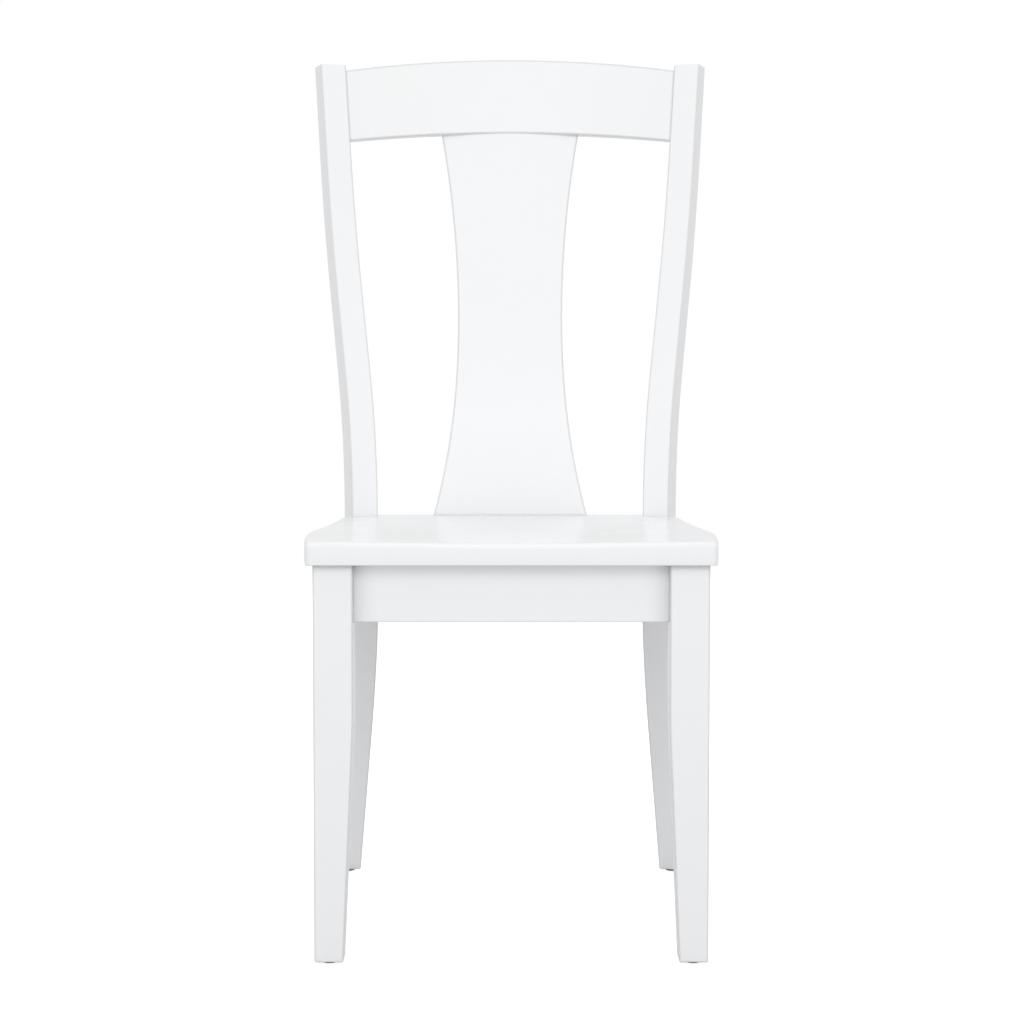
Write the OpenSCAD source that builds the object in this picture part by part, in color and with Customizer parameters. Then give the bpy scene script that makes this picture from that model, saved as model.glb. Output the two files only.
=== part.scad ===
// Side chair in painted wood: scooped seat, tapered front legs, curved and turned rear posts,
// a bowed crest rail and an hourglass splat.
// X is across the chair, Y runs from front to back and Z is up, with the floor at Z = 0.
// While the pieces are drawn, Y is counted from the front faces of the front legs.
// At the end everything is shifted so that the origin is below the middle of the whole chair.
// Pieces that come in pairs are drawn on the +X side and mirrored.

/* [Seat] */
// Height of the seat's flat rim above the floor
seat_h = 457; // [430:1:490]
// Thickness of the seat board
seat_t = 25.5; // [22:0.5:32]
// Width of the seat along its front edge
seat_front_w = 438; // [428:1:450]
// Greatest width of the seat
seat_wide_w = 456; // [450:1:480]
// Width of the seat at the rear posts, before its sides round in there
seat_rear_w = 418; // [410:1:430]
// Distance of the widest place behind the front faces of the legs
seat_wide_y = 126; // [100:1:150]
// How far the seat's sides round in just ahead of the rear posts
seat_ear_in = 5; // [0:0.5:9]
// Length of that rounding
seat_ear_l = 45; // [30:1:60]
// How far the seat stands out in front of the legs
seat_overhang = 10; // [6:1:25]
// How far the seat runs back past the front corners of the rear posts
seat_past_post = 35; // [32:1:45]
// Radius of the front corners, seen from above
seat_corner_r = 10; // [8:1:30]
// Roundover of the upper edge
seat_top_r = 6; // [3:0.5:7.5]
// Roundover of the lower edge
seat_bottom_r = 1.5; // [1:0.5:6]
// Depth of the scoop at its deepest place
scoop_depth = 5; // [0:0.5:8]
// Depth of the scoop where it runs out over the front edge
scoop_front = 2; // [0:0.5:4]
// Width of the scoop
scoop_w = 396; // [300:2:410]
// Distance of the deepest place behind the front faces of the legs
scoop_y = 235; // [200:5:260]
// Width of the flat rim behind the scoop
scoop_rim = 42; // [35:1:60]
// Gap round the rear posts in the seat's notches
seat_notch_gap = 0.3; // [0.2:0.1:1]

/* [Front legs] */
// Distance between the outer faces of the two front legs
leg_spread = 423; // [410:1:440]
// Side of the square leg at its top
leg_w = 42.5; // [38:0.5:50]
// Side of the leg at the floor
leg_foot_w = 31; // [26:0.5:36]
// Height at which the inner faces begin to taper
leg_taper_h = 258; // [150:1:330]
// Length over which the taper eases in
leg_ease_h = 60; // [20:5:100]
// Rounding of the leg's long edges
leg_edge_r = 2; // [1:0.5:5]

/* [Rear posts] */
// Height of the posts above the floor
post_h = 1027; // [1000:1:1080]
// Clear width between the posts' front corners at the seat
post_gap = 325.5; // [310:0.5:345]
// Distance of those corners behind the front faces of the front legs
post_y = 381; // [360:1:400]
// Angle by which each post is turned outwards, seen from above
post_turn = 18.5; // [12:0.5:22]
// Thickness of a post from its inner to its outer face
post_t = 33.5; // [31:0.5:38]
// Thickness of a post at the floor
post_foot_t = 27; // [23:0.5:31]
// Height at which the inner face begins to taper
post_taper_h = 310; // [200:1:350]
// Depth of a post from front to back at the seat
post_depth = 37.5; // [35:0.5:42]
// Depth of a post at its top
post_top_depth = 32; // [28:0.5:35]
// Depth of a post at the floor
post_foot_depth = 27; // [24:0.5:32]
// Rounding of the posts' edges
post_edge_r = 2.5; // [1:0.5:5]

/* [Curve of the back] */
// Height over which the posts bend back above the seat
back_bend_h = 174; // [140:1:210]
// Steepest lean of the posts
back_lean = 20.5; // [16:0.5:24]
// Height of the straight stretch above that bend
back_straight_h = 107; // [60:1:130]
// Height over which the lean eases again
back_ease_h = 175; // [120:1:200]
// Lean of the posts at their tops
back_top_lean = 12.6; // [8:0.1:14]
// Drop from the seat's top to where the rear legs begin to bend back
leg_bend_drop = 91; // [88:1:120]
// Height over which the rear legs bend back
leg_bend_h = 170; // [120:1:220]
// Rake of the rear legs at the floor
leg_rake = 13.2; // [8:0.1:15]

/* [Crest rail] */
// How far the rail's arched top stands above the posts at its middle
rail_rise = 11.5; // [0:0.5:30]
// Height of the rail from bottom to top at its middle
rail_h = 97; // [70:1:110]
// Thickness of the rail from front to back
rail_t = 26; // [20:0.5:28]
// How far the rail's front lies behind the posts' front faces
rail_inset = 3; // [0:0.5:6]
// How far the arched top falls from the middle to the ends
rail_top_drop = 18.5; // [5:0.5:25]
// How far the arched bottom falls from the middle to the ends
rail_bottom_drop = 13.5; // [5:0.5:20]
// Rounding of the rail's edges
rail_edge_r = 3; // [1:0.5:5]

/* [Splat] */
// Width of the splat at the seat
splat_foot_w = 190; // [170:1:220]
// Width of the splat at its waist
splat_waist_w = 131.5; // [100:0.5:160]
// Width of the splat at the crest rail
splat_top_w = 177; // [150:1:210]
// Height of the waist above the seat
splat_waist_h = 237; // [200:1:270]
// Thickness of the splat from front to back
splat_t = 12; // [10:0.5:14]
// How far the splat's foot lies behind the posts' front corners
splat_set_back = 16; // [14:0.5:18]
// How far the splat's top lies behind the front of the crest rail
splat_top_inset = 2; // [1:0.5:3]
// Rounding of the splat's long edges
splat_edge_r = 2.5; // [1:0.5:4]
// Depth to which the splat is housed in the crest rail
splat_housing = 9; // [6:0.5:14]
// Thickness of the tenon at the splat's foot
tenon_t = 8; // [6:0.5:8]
// Length of that tenon
tenon_l = 14; // [8:0.5:16]
// Shoulder on each side of that tenon
tenon_shoulder = 9; // [5:0.5:15]

/* [Aprons] */
// Height of the aprons
apron_h = 62; // [58:1:66]
// Thickness of the aprons
apron_t = 20; // [18:0.5:22]
// How far the front apron lies behind the legs' front faces
front_apron_inset = 8; // [5:0.5:14]
// How far the side aprons lie inside the legs' outer faces
side_apron_inset = 10; // [8:0.5:13]
// How far the rear apron lies behind the posts' front corners
rear_apron_inset = 7; // [6:0.5:8]
// Rounding of the aprons' lower edges
apron_edge_r = 2; // [1:0.5:4]

/* [Dowels] */
// Diameter of the dowels in the aprons
dowel_d = 8; // [6:0.5:9]
// Depth of those dowels in each piece
dowel_depth = 16; // [12:0.5:17]
// Height of the outer pair of apron dowels above and below the middle
dowel_wide = 20; // [18:0.5:22]
// Height of the side aprons' dowels above and below the middle
dowel_close = 12; // [10:0.5:13]
// Diameter of the dowels in the crest rail
rail_dowel_d = 10; // [8:0.5:12]
// Depth of those dowels in each piece
rail_dowel_depth = 18; // [14:0.5:22]
// Distance between the two dowels at one end of the crest rail
rail_dowel_gap = 46; // [30:1:60]
// Space left past a dowel's end in its hole
dowel_end_gap = 1; // [0.5:0.5:2]
// Clearance round dowels, screws and tenons
fit = 0.05; // [0.03:0.01:0.1]

/* [Corner blocks] */
// Thickness of a corner block across its diagonal faces
block_t = 25; // [22:0.5:28]
// Height of a corner block
block_h = 43; // [38:1:46]
// Space between a block and the leg's corner
block_gap = 4; // [3:0.5:6]
// Space between the blocks and the seat
block_drop = 2; // [1:0.5:4]

/* [Bolts and screws] */
// Diameter of the hanger bolts
bolt_d = 8; // [6:0.5:8]
// Depth of a hanger bolt in the leg
bolt_depth = 22; // [18:1:24]
// Length of thread left past the nut
bolt_tail = 4; // [2:0.5:8]
// Clearance of a bolt in its block and washer
bolt_gap = 0.5; // [0.3:0.1:0.8]
// Width across the flats of a nut
nut_flats = 13; // [12:0.5:14]
// Height of a nut
nut_h = 6.5; // [5:0.5:8]
// Diameter of a washer
washer_d = 18; // [16:0.5:20]
// Thickness of a washer
washer_t = 1.6; // [1:0.1:2.5]
// Diameter of the wood screws
screw_d = 4.5; // [3.5:0.5:5]
// Diameter of their heads
screw_head_d = 8.4; // [7:0.2:9]
// Length of the screws that hold the seat
seat_screw_l = 44; // [40:1:46]
// Depth of those screws in the seat
seat_screw_depth = 14; // [10:0.5:16]
// Length of the screws that hold the corner blocks
block_screw_l = 26; // [22:0.5:28]
// Depth of those screws in the aprons
block_screw_depth = 14; // [10:0.5:16]

/* [Glides] */
// Height of a glide under the foot
glide_h = 3; // [2.5:0.1:5]
// Diameter of a glide
glide_d = 18; // [16:0.5:21]
// Diameter of the flat that touches the floor
glide_flat_d = 12; // [8:0.5:14]
// Diameter of the nail's head in the glide
nail_head_d = 8; // [6:0.5:10]
// Thickness of that head
nail_head_t = 1.2; // [0.8:0.1:1.5]
// Diameter of the nail
nail_d = 2.2; // [1.8:0.1:3]
// Length of the nail in the foot
nail_l = 16; // [12:0.5:20]

/* [Hidden] */
$fn = 48;
// Overshoot of a cut past the face it starts from
over = 1;
// Length that is longer than any piece
far = 600;
// Points along a rounded corner, and the smallest radius such a corner is drawn with
corner_steps = 4;
corner_min_r = 0.3;
// Steps along the bends of posts, rail and splat, and along the easing of a front leg's taper
post_steps = 36;
rail_steps = 30;
splat_steps = 28;
taper_steps = 5;
// Steps of the seat: along each stretch of its outline, and from its rim to the middle
front_steps = 10;
side_steps = 13;
seat_rings = 7;
// Shapes of the free curves: an exponent below 1 draws the seat's sides in soonest behind the widest
// place, and one above 1 leaves the splat's waist slowly and flares most at its ends
seat_side_pull = 0.65;
splat_top_flare = 1.95;
splat_foot_flare = 2.2;
// Distance of a seat screw to the side of the hanger bolt
seat_screw_aside = 17;
// Radius left at the tips of screws and nails, and space round a screw's sunk head
tip_r = 0.3;
head_room = 0.5;

// Heights that several pieces share
seat_under = seat_h - seat_t;
apron_mid = seat_under - apron_h / 2;
block_z = seat_under - block_drop - block_h;
block_mid = block_z + block_h / 2;

// Front legs: outer face, inner face and back face
leg_x = leg_spread / 2;
leg_in = leg_x - leg_w;
leg_taper = leg_w - leg_foot_w;

// Height of the top of the rail at its middle
rail_top = post_h + rail_rise;

// The back is laid out round one upright axis in front of it, so posts, rail and bow share it
bow_r = post_gap / 2 / sin(post_turn);
bow_y = post_y - bow_r * cos(post_turn);
turn_across = [cos(post_turn), -sin(post_turn)];
turn_back = [sin(post_turn), cos(post_turn)];
post_in = [post_gap / 2, post_y];

// Outline of the seat
front_half = seat_front_w / 2;
wide_half = seat_wide_w / 2;
rear_half = seat_rear_w / 2;
seat_y0 = -seat_overhang;
seat_y1 = post_y + seat_past_post;
seat_side_y0 = seat_y0 + seat_corner_r;
seat_mid_y = (seat_y0 + seat_y1) / 2;
scoop_y1 = seat_y1 - scoop_rim;

// Front apron, rear apron and the line of the side aprons
front_apron_y = front_apron_inset;
front_inner_y = front_apron_y + apron_t;
rear_apron_y = post_y + rear_apron_inset;
side_from = [leg_x - side_apron_inset - apron_t / 2, leg_w];
side_to = post_in + turn_across * post_t / 2;
side_az = atan2(side_to.y - side_from.y, side_to.x - side_from.x);
side_dir = [cos(side_az), sin(side_az)];
side_inner = side_from + [-side_dir.y, side_dir.x] * apron_t / 2;

// The chair's middle from front to back, which the origin lies under
chair_y1 = bow_y + bow_r + lean(rail_top - rail_edge_r) + rail_inset + rail_t;
mid_y = (seat_y0 + chair_y1) / 2;

function mix(a, b, t) = a + (b - a) * t;
function clip(x, lo, hi) = min(max(x, lo), hi);
function ease(t) = t * t * (3 - 2 * t);
function unit(v) = v / norm(v);

// Distance that an arc moves aside over a height x, as its slope turns from a0 to a1 over a height l
function bend(x, l, a0, a1) =
    let (r = l / (sin(a1) - sin(a0)), s = sin(a0) + clip(x, 0, l) / r)
    r * (cos(a0) - sqrt(1 - s * s));

// How far the posts' front faces lie behind their place at the seat, at the height z
function lean(z) = z > seat_h ? back_lean_at(z - seat_h) : leg_lean_at(seat_h - z);
function back_lean_at(h) =
    bend(h, back_bend_h, 0, back_lean)
    + clip(h - back_bend_h, 0, back_straight_h) * tan(back_lean)
    + bend(h - back_bend_h - back_straight_h, back_ease_h, back_lean, back_top_lean)
    + max(h - back_bend_h - back_straight_h - back_ease_h, 0) * tan(back_top_lean);
function leg_lean_at(drop) =
    bend(drop - leg_bend_drop, leg_bend_h, 0, leg_rake)
    + max(drop - leg_bend_drop - leg_bend_h, 0) * tan(leg_rake);

// Depth and thickness of a post at the height z
function post_depth_at(z) = z > seat_h
    ? mix(post_depth, post_top_depth, (z - seat_h) / (post_h - seat_h))
    : mix(post_depth, post_foot_depth, clip((seat_h - leg_bend_drop - z) / (seat_h - leg_bend_drop), 0, 1));
function post_thick_at(z) = mix(post_t, post_foot_t, clip(1 - z / post_taper_h, 0, 1));

// Place in plan that lies p behind the posts' front corner line and q outwards from the inner face
function post_at(p, q) = post_in + turn_back * p + turn_across * q;

// Place on the bowed back at the radius r and the angle a from the chair's middle
function bowed(r, a, z) = [r * sin(a), bow_y + r * cos(a), z];

// Rectangle with rounded corners, as points that run anticlockwise
function round_rect(x0, x1, y0, y1, r) = [
    for (k = [0:3], i = [0:corner_steps - 1])
        let (a = 180 + 90 * k + 90 * i / (corner_steps - 1))
        [(k == 1 || k == 2 ? x1 - r : x0 + r) + r * cos(a), (k > 1 ? y1 - r : y0 + r) + r * sin(a)]
];

// Shares of a roundover: how far each step lies in from the side, and how far down from the top
function round_in(r, i, n) = r * (1 - cos(90 * i / n));
function round_down(r, i, n) = r * (1 - sin(90 * i / n));

// Crossing of the line through p along a with the line through q along b
function meet(p, a, q, b) =
    p + a * ((q.x - p.x) * b.y - (q.y - p.y) * b.x) / (a.x * b.y - a.y * b.x);

function centre(ring) = [for (p = ring) 1] * ring / len(ring);

// Solid between rings of points that run anticlockwise about the way the rings are stacked.
// Each end is closed by a fan round one middle point.
module stack(rings, tip) {
    n = len(rings[0]);
    m = len(rings);
    last = (m - 1) * n;
    walls = [
        for (j = [0:m - 2], i = [0:n - 1])
            let (a = j * n + i, b = j * n + (i + 1) % n)
            each [[a, a + n, b + n], [a, b + n, b]]
    ];
    start = [for (i = [0:n - 1]) [i, (i + 1) % n, m * n]];
    end = [for (i = [0:n - 1]) [last + i, m * n + 1, last + (i + 1) % n]];
    middles = [centre(rings[0]), is_undef(tip) ? centre(rings[m - 1]) : tip];
    polyhedron(concat([for (r = rings) each r], middles), concat(start, walls, end), convexity = 6);
}

// The origin is moved under the middle of the chair
module place() {
    translate([0, -mid_y, 0]) children();
}

module left() {
    mirror([1, 0, 0]) children();
}

module pair() {
    children();
    left() children();
}

// Round bar through p, level, that points to az and reaches back and ahead of p
module bar(p, az, back, ahead, d) {
    translate(p) rotate([0, 90, az]) translate([0, 0, -back]) cylinder(h = back + ahead, d = d);
}

// Dowels of the +X side, each as the place in the joint's face and the way it points
front_pegs = [
    for (s = [-1, 1]) [[leg_in, front_apron_y + apron_t / 2, apron_mid + s * dowel_wide], 0]
];
side_front_pegs = [
    for (s = [-1, 1]) [[side_from.x, side_from.y, apron_mid + s * dowel_close], side_az]
];
side_rear_pegs = [
    for (s = [-1, 1]) [[side_to.x, side_to.y, apron_mid + s * dowel_close], side_az]
];
rear_peg_xy = meet(post_in, turn_back, [0, rear_apron_y + apron_t / 2], [1, 0]);
rear_pegs = [
    for (s = [-1, 1]) [[rear_peg_xy.x, rear_peg_xy.y, apron_mid + s * dowel_wide], 0]
];
rail_end_mid = rail_top - rail_top_drop / 2 - rail_bottom_drop / 2 - rail_h / 2;
rail_pegs = [
    for (s = [-1, 1])
        let (
            z = rail_end_mid + s * rail_dowel_gap / 2,
            r = bow_r + lean(z) + rail_inset + rail_t / 2
        )
        [bowed(r, post_turn, z), -post_turn]
];

module dowels(pegs, d, depth) {
    color("burlywood")
        for (p = pegs) bar(p[0], p[1], depth, depth, d);
}

module dowel_holes(pegs, d, depth) {
    for (p = pegs) bar(p[0], p[1], depth + dowel_end_gap, depth + dowel_end_gap, d + 2 * fit);
}

module apron_holes(pegs) {
    dowel_holes(pegs, dowel_d, dowel_depth);
}

module rail_holes() {
    dowel_holes(rail_pegs, rail_dowel_d, rail_dowel_depth);
}

// Half width of the seat at the distance y, and the depth of its scoop
function seat_draw_in(t) = ease(pow(t, seat_side_pull));
function seat_half(y) = y < seat_wide_y
    ? mix(front_half, wide_half, sin(90 * clip((y - seat_side_y0) / (seat_wide_y - seat_side_y0), 0, 1)))
    : mix(wide_half, rear_half, seat_draw_in(clip((y - seat_wide_y) / (post_y - seat_wide_y), 0, 1)))
        - seat_ear_in * pow(clip((y - post_y) / seat_ear_l + 1, 0, 1), 2);
function scoop_across(x) = pow(1 - pow(clip(2 * abs(x) / scoop_w, 0, 1), 2), 2);
function scoop_along(y) = y < scoop_y
    ? mix(scoop_front, scoop_depth, ease(clip((y - seat_y0) / (scoop_y - seat_y0), 0, 1)))
    : scoop_depth * ease(clip((scoop_y1 - y) / (scoop_y1 - scoop_y), 0, 1));
function seat_top_at(p) = seat_h - scoop_across(p.x) * scoop_along(p.y);

// Right half of the seat's outline, from the middle of the front edge to the middle of the rear edge
seat_half_outline = concat(
    [for (i = [0:front_steps - 1]) [(front_half - seat_corner_r) * i / front_steps, seat_y0]],
    [
        for (i = [0:corner_steps])
            let (a = -90 + 90 * i / corner_steps)
            [front_half - seat_corner_r + seat_corner_r * cos(a), seat_side_y0 + seat_corner_r * sin(a)]
    ],
    [
        for (i = [1:side_steps])
            let (y = mix(seat_side_y0, seat_y1, i / side_steps))
            [seat_half(y), y]
    ],
    [for (i = [front_steps - 1:-1:0]) [rear_half * i / front_steps, seat_y1]]
);
half_count = len(seat_half_outline);
seat_outline = concat(
    seat_half_outline,
    [for (i = [half_count - 2:-1:1]) [-seat_half_outline[i].x, seat_half_outline[i].y]]
);
seat_count = len(seat_outline);
function seat_inward(i) =
    let (
        a = seat_outline[(i + seat_count - 1) % seat_count],
        b = seat_outline[(i + 1) % seat_count],
        t = unit(b - a)
    )
    [-t.y, t.x];
function seat_ring(inset) = [for (i = [0:seat_count - 1]) seat_outline[i] + seat_inward(i) * inset];

module seat_board() {
    bottom = [
        for (i = [corner_steps - 1:-1:0])
            [
                for (p = seat_ring(round_in(seat_bottom_r, i + 1, corner_steps)))
                    [p.x, p.y, seat_under + round_down(seat_bottom_r, i + 1, corner_steps)]
            ]
    ];
    top = [
        for (i = [0:corner_steps])
            [
                for (p = seat_ring(round_in(seat_top_r, i, corner_steps)))
                    [p.x, p.y, seat_top_at(p) - round_down(seat_top_r, i, corner_steps)]
            ]
    ];
    rim = seat_ring(seat_top_r);
    middle = [0, seat_mid_y];
    field = [
        for (i = [1:seat_rings - 1])
            [
                for (q = rim)
                    let (p = mix(q, middle, i / seat_rings))
                    [p.x, p.y, seat_top_at(p)]
            ]
    ];
    stack(concat(bottom, top, field), [middle.x, middle.y, seat_top_at(middle)]);
}

// Space that a rear post takes out of the seat's corner
module post_notch() {
    translate([post_in.x, post_in.y, 0]) rotate([0, 0, -post_turn])
        translate([-seat_notch_gap, -seat_notch_gap, seat_under - over])
            cube([far, far, seat_t + 2 * over]);
}

splat_foot_y = post_y + splat_set_back;

module seat() {
    color("whitesmoke") place() difference() {
        seat_board();
        pair() post_notch();
        foot_tenon(fit, 1);
        pair() for (p = seat_screw_places)
            translate([p.x, p.y, seat_under - over])
                cylinder(h = seat_screw_depth + 2 * over, d = screw_d + 2 * fit);
    }
}

// Inner face of a front leg, as its distance in from the untapered face at the height z
function leg_taper_at(z) =
    let (
        slope = leg_taper / leg_taper_h,
        x = leg_taper_h + leg_ease_h / 2 - z
    )
    x < leg_ease_h
        ? slope * pow(max(x, 0), 2) / 2 / leg_ease_h
        : slope * (x - leg_ease_h / 2);

module front_leg_blank() {
    ease_top = leg_taper_h + leg_ease_h / 2;
    levels = concat(
        [glide_h + leg_edge_r / 2],
        [for (i = [0:taper_steps]) ease_top - leg_ease_h * (1 - i / taper_steps)],
        [seat_under]
    );
    foot_in = leg_taper_at(glide_h);
    foot = round_rect(
        leg_in + foot_in + leg_edge_r / 2, leg_x - leg_edge_r / 2,
        leg_edge_r / 2, leg_w - foot_in - leg_edge_r / 2, leg_edge_r / 2
    );
    stack(concat(
        [[for (p = foot) [p.x, p.y, glide_h]]],
        [
            for (z = levels)
                let (t = leg_taper_at(z))
                [for (p = round_rect(leg_in + t, leg_x, 0, leg_w - t, leg_edge_r)) [p.x, p.y, z]]
        ]
    ));
}

module front_leg() {
    color("whitesmoke") place() difference() {
        front_leg_blank();
        apron_holes(front_pegs);
        apron_holes(side_front_pegs);
        bar(bolt_corner, bolt_az, bolt_depth + over, leg_w, bolt_d + 2 * fit);
        nail_hole(front_foot);
    }
}

module front_leg_right() {
    front_leg();
}

module front_leg_left() {
    left() front_leg();
}

// Level slice of a rear post at the height z, drawn in by the given amount all round
function post_slice(z, inset, r) = [
    for (q = round_rect(inset, post_thick_at(z) - inset, inset, post_depth_at(z) - inset, r))
        let (p = post_at(lean(z) + q.y, post_t - post_thick_at(z) + q.x))
        [p.x, p.y, z]
];

module rear_post_blank() {
    foot_r = post_edge_r / 2;
    shaft_top = post_h - post_edge_r;
    stack(concat(
        [[for (p = post_slice(glide_h + foot_r, foot_r, foot_r)) [p.x, p.y, glide_h]]],
        [
            for (i = [0:post_steps])
                post_slice(mix(glide_h + foot_r, shaft_top, i / post_steps), 0, post_edge_r)
        ],
        [
            for (i = [1:corner_steps])
                let (e = round_in(post_edge_r, i, corner_steps))
                [
                    for (p = post_slice(shaft_top, e, max(post_edge_r - e, corner_min_r)))
                        [p.x, p.y, post_h - round_down(post_edge_r, i, corner_steps)]
                ]
        ]
    ));
}

module rear_post() {
    color("whitesmoke") place() difference() {
        rear_post_blank();
        apron_holes(side_rear_pegs);
        apron_holes(rear_pegs);
        rail_holes();
        nail_hole(rear_foot);
    }
}

module rear_post_right() {
    rear_post();
}

module rear_post_left() {
    left() rear_post();
}

// Slice of the crest rail at the angle a from the chair's middle
function rail_slice(a) =
    let (
        share = pow(a / post_turn, 2),
        z0 = rail_top - rail_h - rail_bottom_drop * share,
        z1 = rail_top - rail_top_drop * share
    )
    [
        for (q = round_rect(0, rail_t, z0, z1, rail_edge_r))
            bowed(bow_r + lean(q.y) + rail_inset + q.x, a, q.y)
    ];

module crest_rail() {
    color("whitesmoke") place() difference() {
        stack([for (i = [0:rail_steps]) rail_slice(mix(-post_turn, post_turn, i / rail_steps))]);
        splat_blank(splat_housing_z0, splat_top_z + dowel_end_gap, 1, fit);
        pair() rail_holes();
    }
}

// The splat follows the posts' curve, stretched so that it reaches from the seat to the crest rail
splat_top_z = rail_top - rail_h + splat_housing;
splat_housing_z0 = rail_top - rail_h - rail_bottom_drop;
splat_top_y = bow_y + bow_r + lean(splat_top_z) + rail_inset + splat_top_inset;
splat_stretch = (splat_top_y - splat_foot_y) / lean(splat_top_z);
function splat_y(z) = splat_foot_y + splat_stretch * lean(z);

// Half width of the splat at the height z, with its narrowest place at the waist
function splat_half(z) =
    let (h = z - seat_h, waist = splat_waist_w / 2)
    h > splat_waist_h
        ? waist + (splat_top_w - splat_waist_w) / 2
            * pow((h - splat_waist_h) / (rail_top - rail_h - seat_h - splat_waist_h), splat_top_flare)
        : waist + (splat_foot_w - splat_waist_w) / 2
            * pow((splat_waist_h - h) / splat_waist_h, splat_foot_flare);

// The splat between the heights z0 and z1 without its tenon, made larger all round by grow
module splat_blank(z0, z1, steps, grow = 0) {
    stack([
        for (i = [0:steps])
            let (z = mix(z0, z1, i / steps), w = splat_half(z) + grow, y = splat_y(z))
            [
                for (p = round_rect(-w, w, y - grow, y + splat_t + grow, splat_edge_r))
                    [p.x, p.y, z]
            ]
    ]);
}

module foot_tenon(grow, deeper) {
    half = splat_foot_w / 2 - tenon_shoulder;
    r = tenon_t / 2 + grow;
    translate([0, splat_foot_y + splat_t / 2, seat_h - tenon_l - deeper]) {
        h = tenon_l + deeper + (grow > 0 ? over : 0);
        translate([-half, -r, 0]) cube([2 * half, 2 * r, h]);
        for (s = [-1, 1]) translate([s * half, 0, 0]) cylinder(h = h, r = r);
    }
}

module back_splat() {
    color("whitesmoke") place() union() {
        splat_blank(seat_h, splat_top_z, splat_steps);
        foot_tenon(0, 0);
    }
}

// End view of an apron board with its two lower edges rounded, lower left corner at the origin
module apron_profile() {
    r = apron_edge_r;
    translate([0, r]) square([apron_t, apron_h - r]);
    translate([r, 0]) square([apron_t - 2 * r, apron_h]);
    for (x = [r, apron_t - r]) translate([x, r]) circle(r);
}

// Apron board that starts at p and points to az, with its thickness on both sides of that line
module apron_board(p, az, l) {
    translate([p.x, p.y, seat_under - apron_h]) rotate([90, 0, az + 90])
        translate([-apron_t / 2, 0, 0]) linear_extrude(height = l) apron_profile();
}

module front_apron() {
    color("whitesmoke") place() difference() {
        apron_board([-leg_in, front_apron_y + apron_t / 2], 0, 2 * leg_in);
        pair() apron_holes(front_pegs);
        pair() block_screw_hole(front_screw);
    }
}

// Everything behind the front faces of the post on the +X side, and all beyond its inner face
module behind_post() {
    translate([post_in.x, post_in.y, 0]) rotate([0, 0, -post_turn])
        translate([-far / 2, 0, 0]) cube([far, far, seat_h]);
}

module beyond_post() {
    translate([post_in.x, post_in.y, 0]) rotate([0, 0, -post_turn])
        translate([0, -far / 2, 0]) cube([far, far, seat_h]);
}

module rear_apron() {
    color("whitesmoke") place() difference() {
        apron_board([-post_gap, rear_apron_y + apron_t / 2], 0, 2 * post_gap);
        pair() beyond_post();
        pair() apron_holes(rear_pegs);
        pair() block_screw_hole(rear_screw);
    }
}

module side_apron() {
    color("whitesmoke") place() difference() {
        apron_board(side_from - side_dir * apron_t, side_az, norm(side_to - side_from) + 2 * apron_t);
        translate([0, leg_w - far, 0]) cube([far, far, seat_h]);
        behind_post();
        apron_holes(side_front_pegs);
        apron_holes(side_rear_pegs);
        block_screw_hole(front_side_screw);
        block_screw_hole(rear_side_screw);
    }
}

module side_apron_right() {
    side_apron();
}

module side_apron_left() {
    left() side_apron();
}

// Corner block as its four corners: two on one apron, two on the side apron.
// c is the leg's corner, in is the way from it to the chair's middle, p and a are the apron's inner line.
function block_outline(c, in, p, a) =
    let (
        along = [-in.y, in.x],
        near = c + in * block_gap,
        away = near + in * block_t
    )
    [
        meet(near, along, p, a), meet(near, along, side_inner, side_dir),
        meet(away, along, side_inner, side_dir), meet(away, along, p, a)
    ];

front_corner = [leg_in, leg_w];
front_in = [-1, 1] / sqrt(2);
front_block = block_outline(front_corner, front_in, [0, front_inner_y], [1, 0]);
rear_in = [-1, -1] / sqrt(2);
rear_block = block_outline(post_in, rear_in, [0, rear_apron_y], [1, 0]);

// Hanger bolt: where it enters the leg's corner, and which way it points
bolt_az = 135;
bolt_corner = [front_corner.x, front_corner.y, block_mid];
bolt_face = block_gap + block_t;
bolt_l = bolt_face + washer_t + nut_h + bolt_tail;

// Block screws, each as the place in the apron's face and the way to its tip
screw_z = block_mid;
front_screw_x = (front_block[0].x + front_block[3].x) / 2;
front_screw = [[front_screw_x, front_inner_y, screw_z], -90];
rear_screw_x = (rear_block[0].x + rear_block[3].x) / 2;
rear_screw = [[rear_screw_x, rear_apron_y, screw_z], 90];
front_side_mid = (front_block[1] + front_block[2]) / 2;
front_side_screw = [[front_side_mid.x, front_side_mid.y, screw_z], side_az - 90];
rear_side_mid = (rear_block[1] + rear_block[2]) / 2;
rear_side_screw = [[rear_side_mid.x, rear_side_mid.y, screw_z], side_az - 90];
block_screws = [front_screw, front_side_screw, rear_screw, rear_side_screw];

// Seat screws stand beside the bolt in the front blocks, and in the middle of the rear ones
seat_screw_places = [
    front_corner + front_in * (block_gap + block_t / 2) + [1, 1] / sqrt(2) * seat_screw_aside,
    post_in + rear_in * (block_gap + block_t / 2)
];
seat_screw_head_z = seat_under + seat_screw_depth - seat_screw_l;

// Countersunk wood screw that points along +Z, with the top of its head at Z = 0
module wood_screw(l, grow = 0) {
    head_h = (screw_head_d - screw_d) / 2;
    tip_h = screw_d;
    cylinder(h = head_h, r1 = screw_head_d / 2 + grow, r2 = screw_d / 2 + grow);
    translate([0, 0, head_h / 2]) cylinder(h = l - tip_h - head_h / 2, d = screw_d + 2 * grow);
    translate([0, 0, l - tip_h])
        cylinder(h = tip_h, r1 = screw_d / 2 + grow, r2 = grow > 0 ? screw_d / 2 : tip_r);
}

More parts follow.
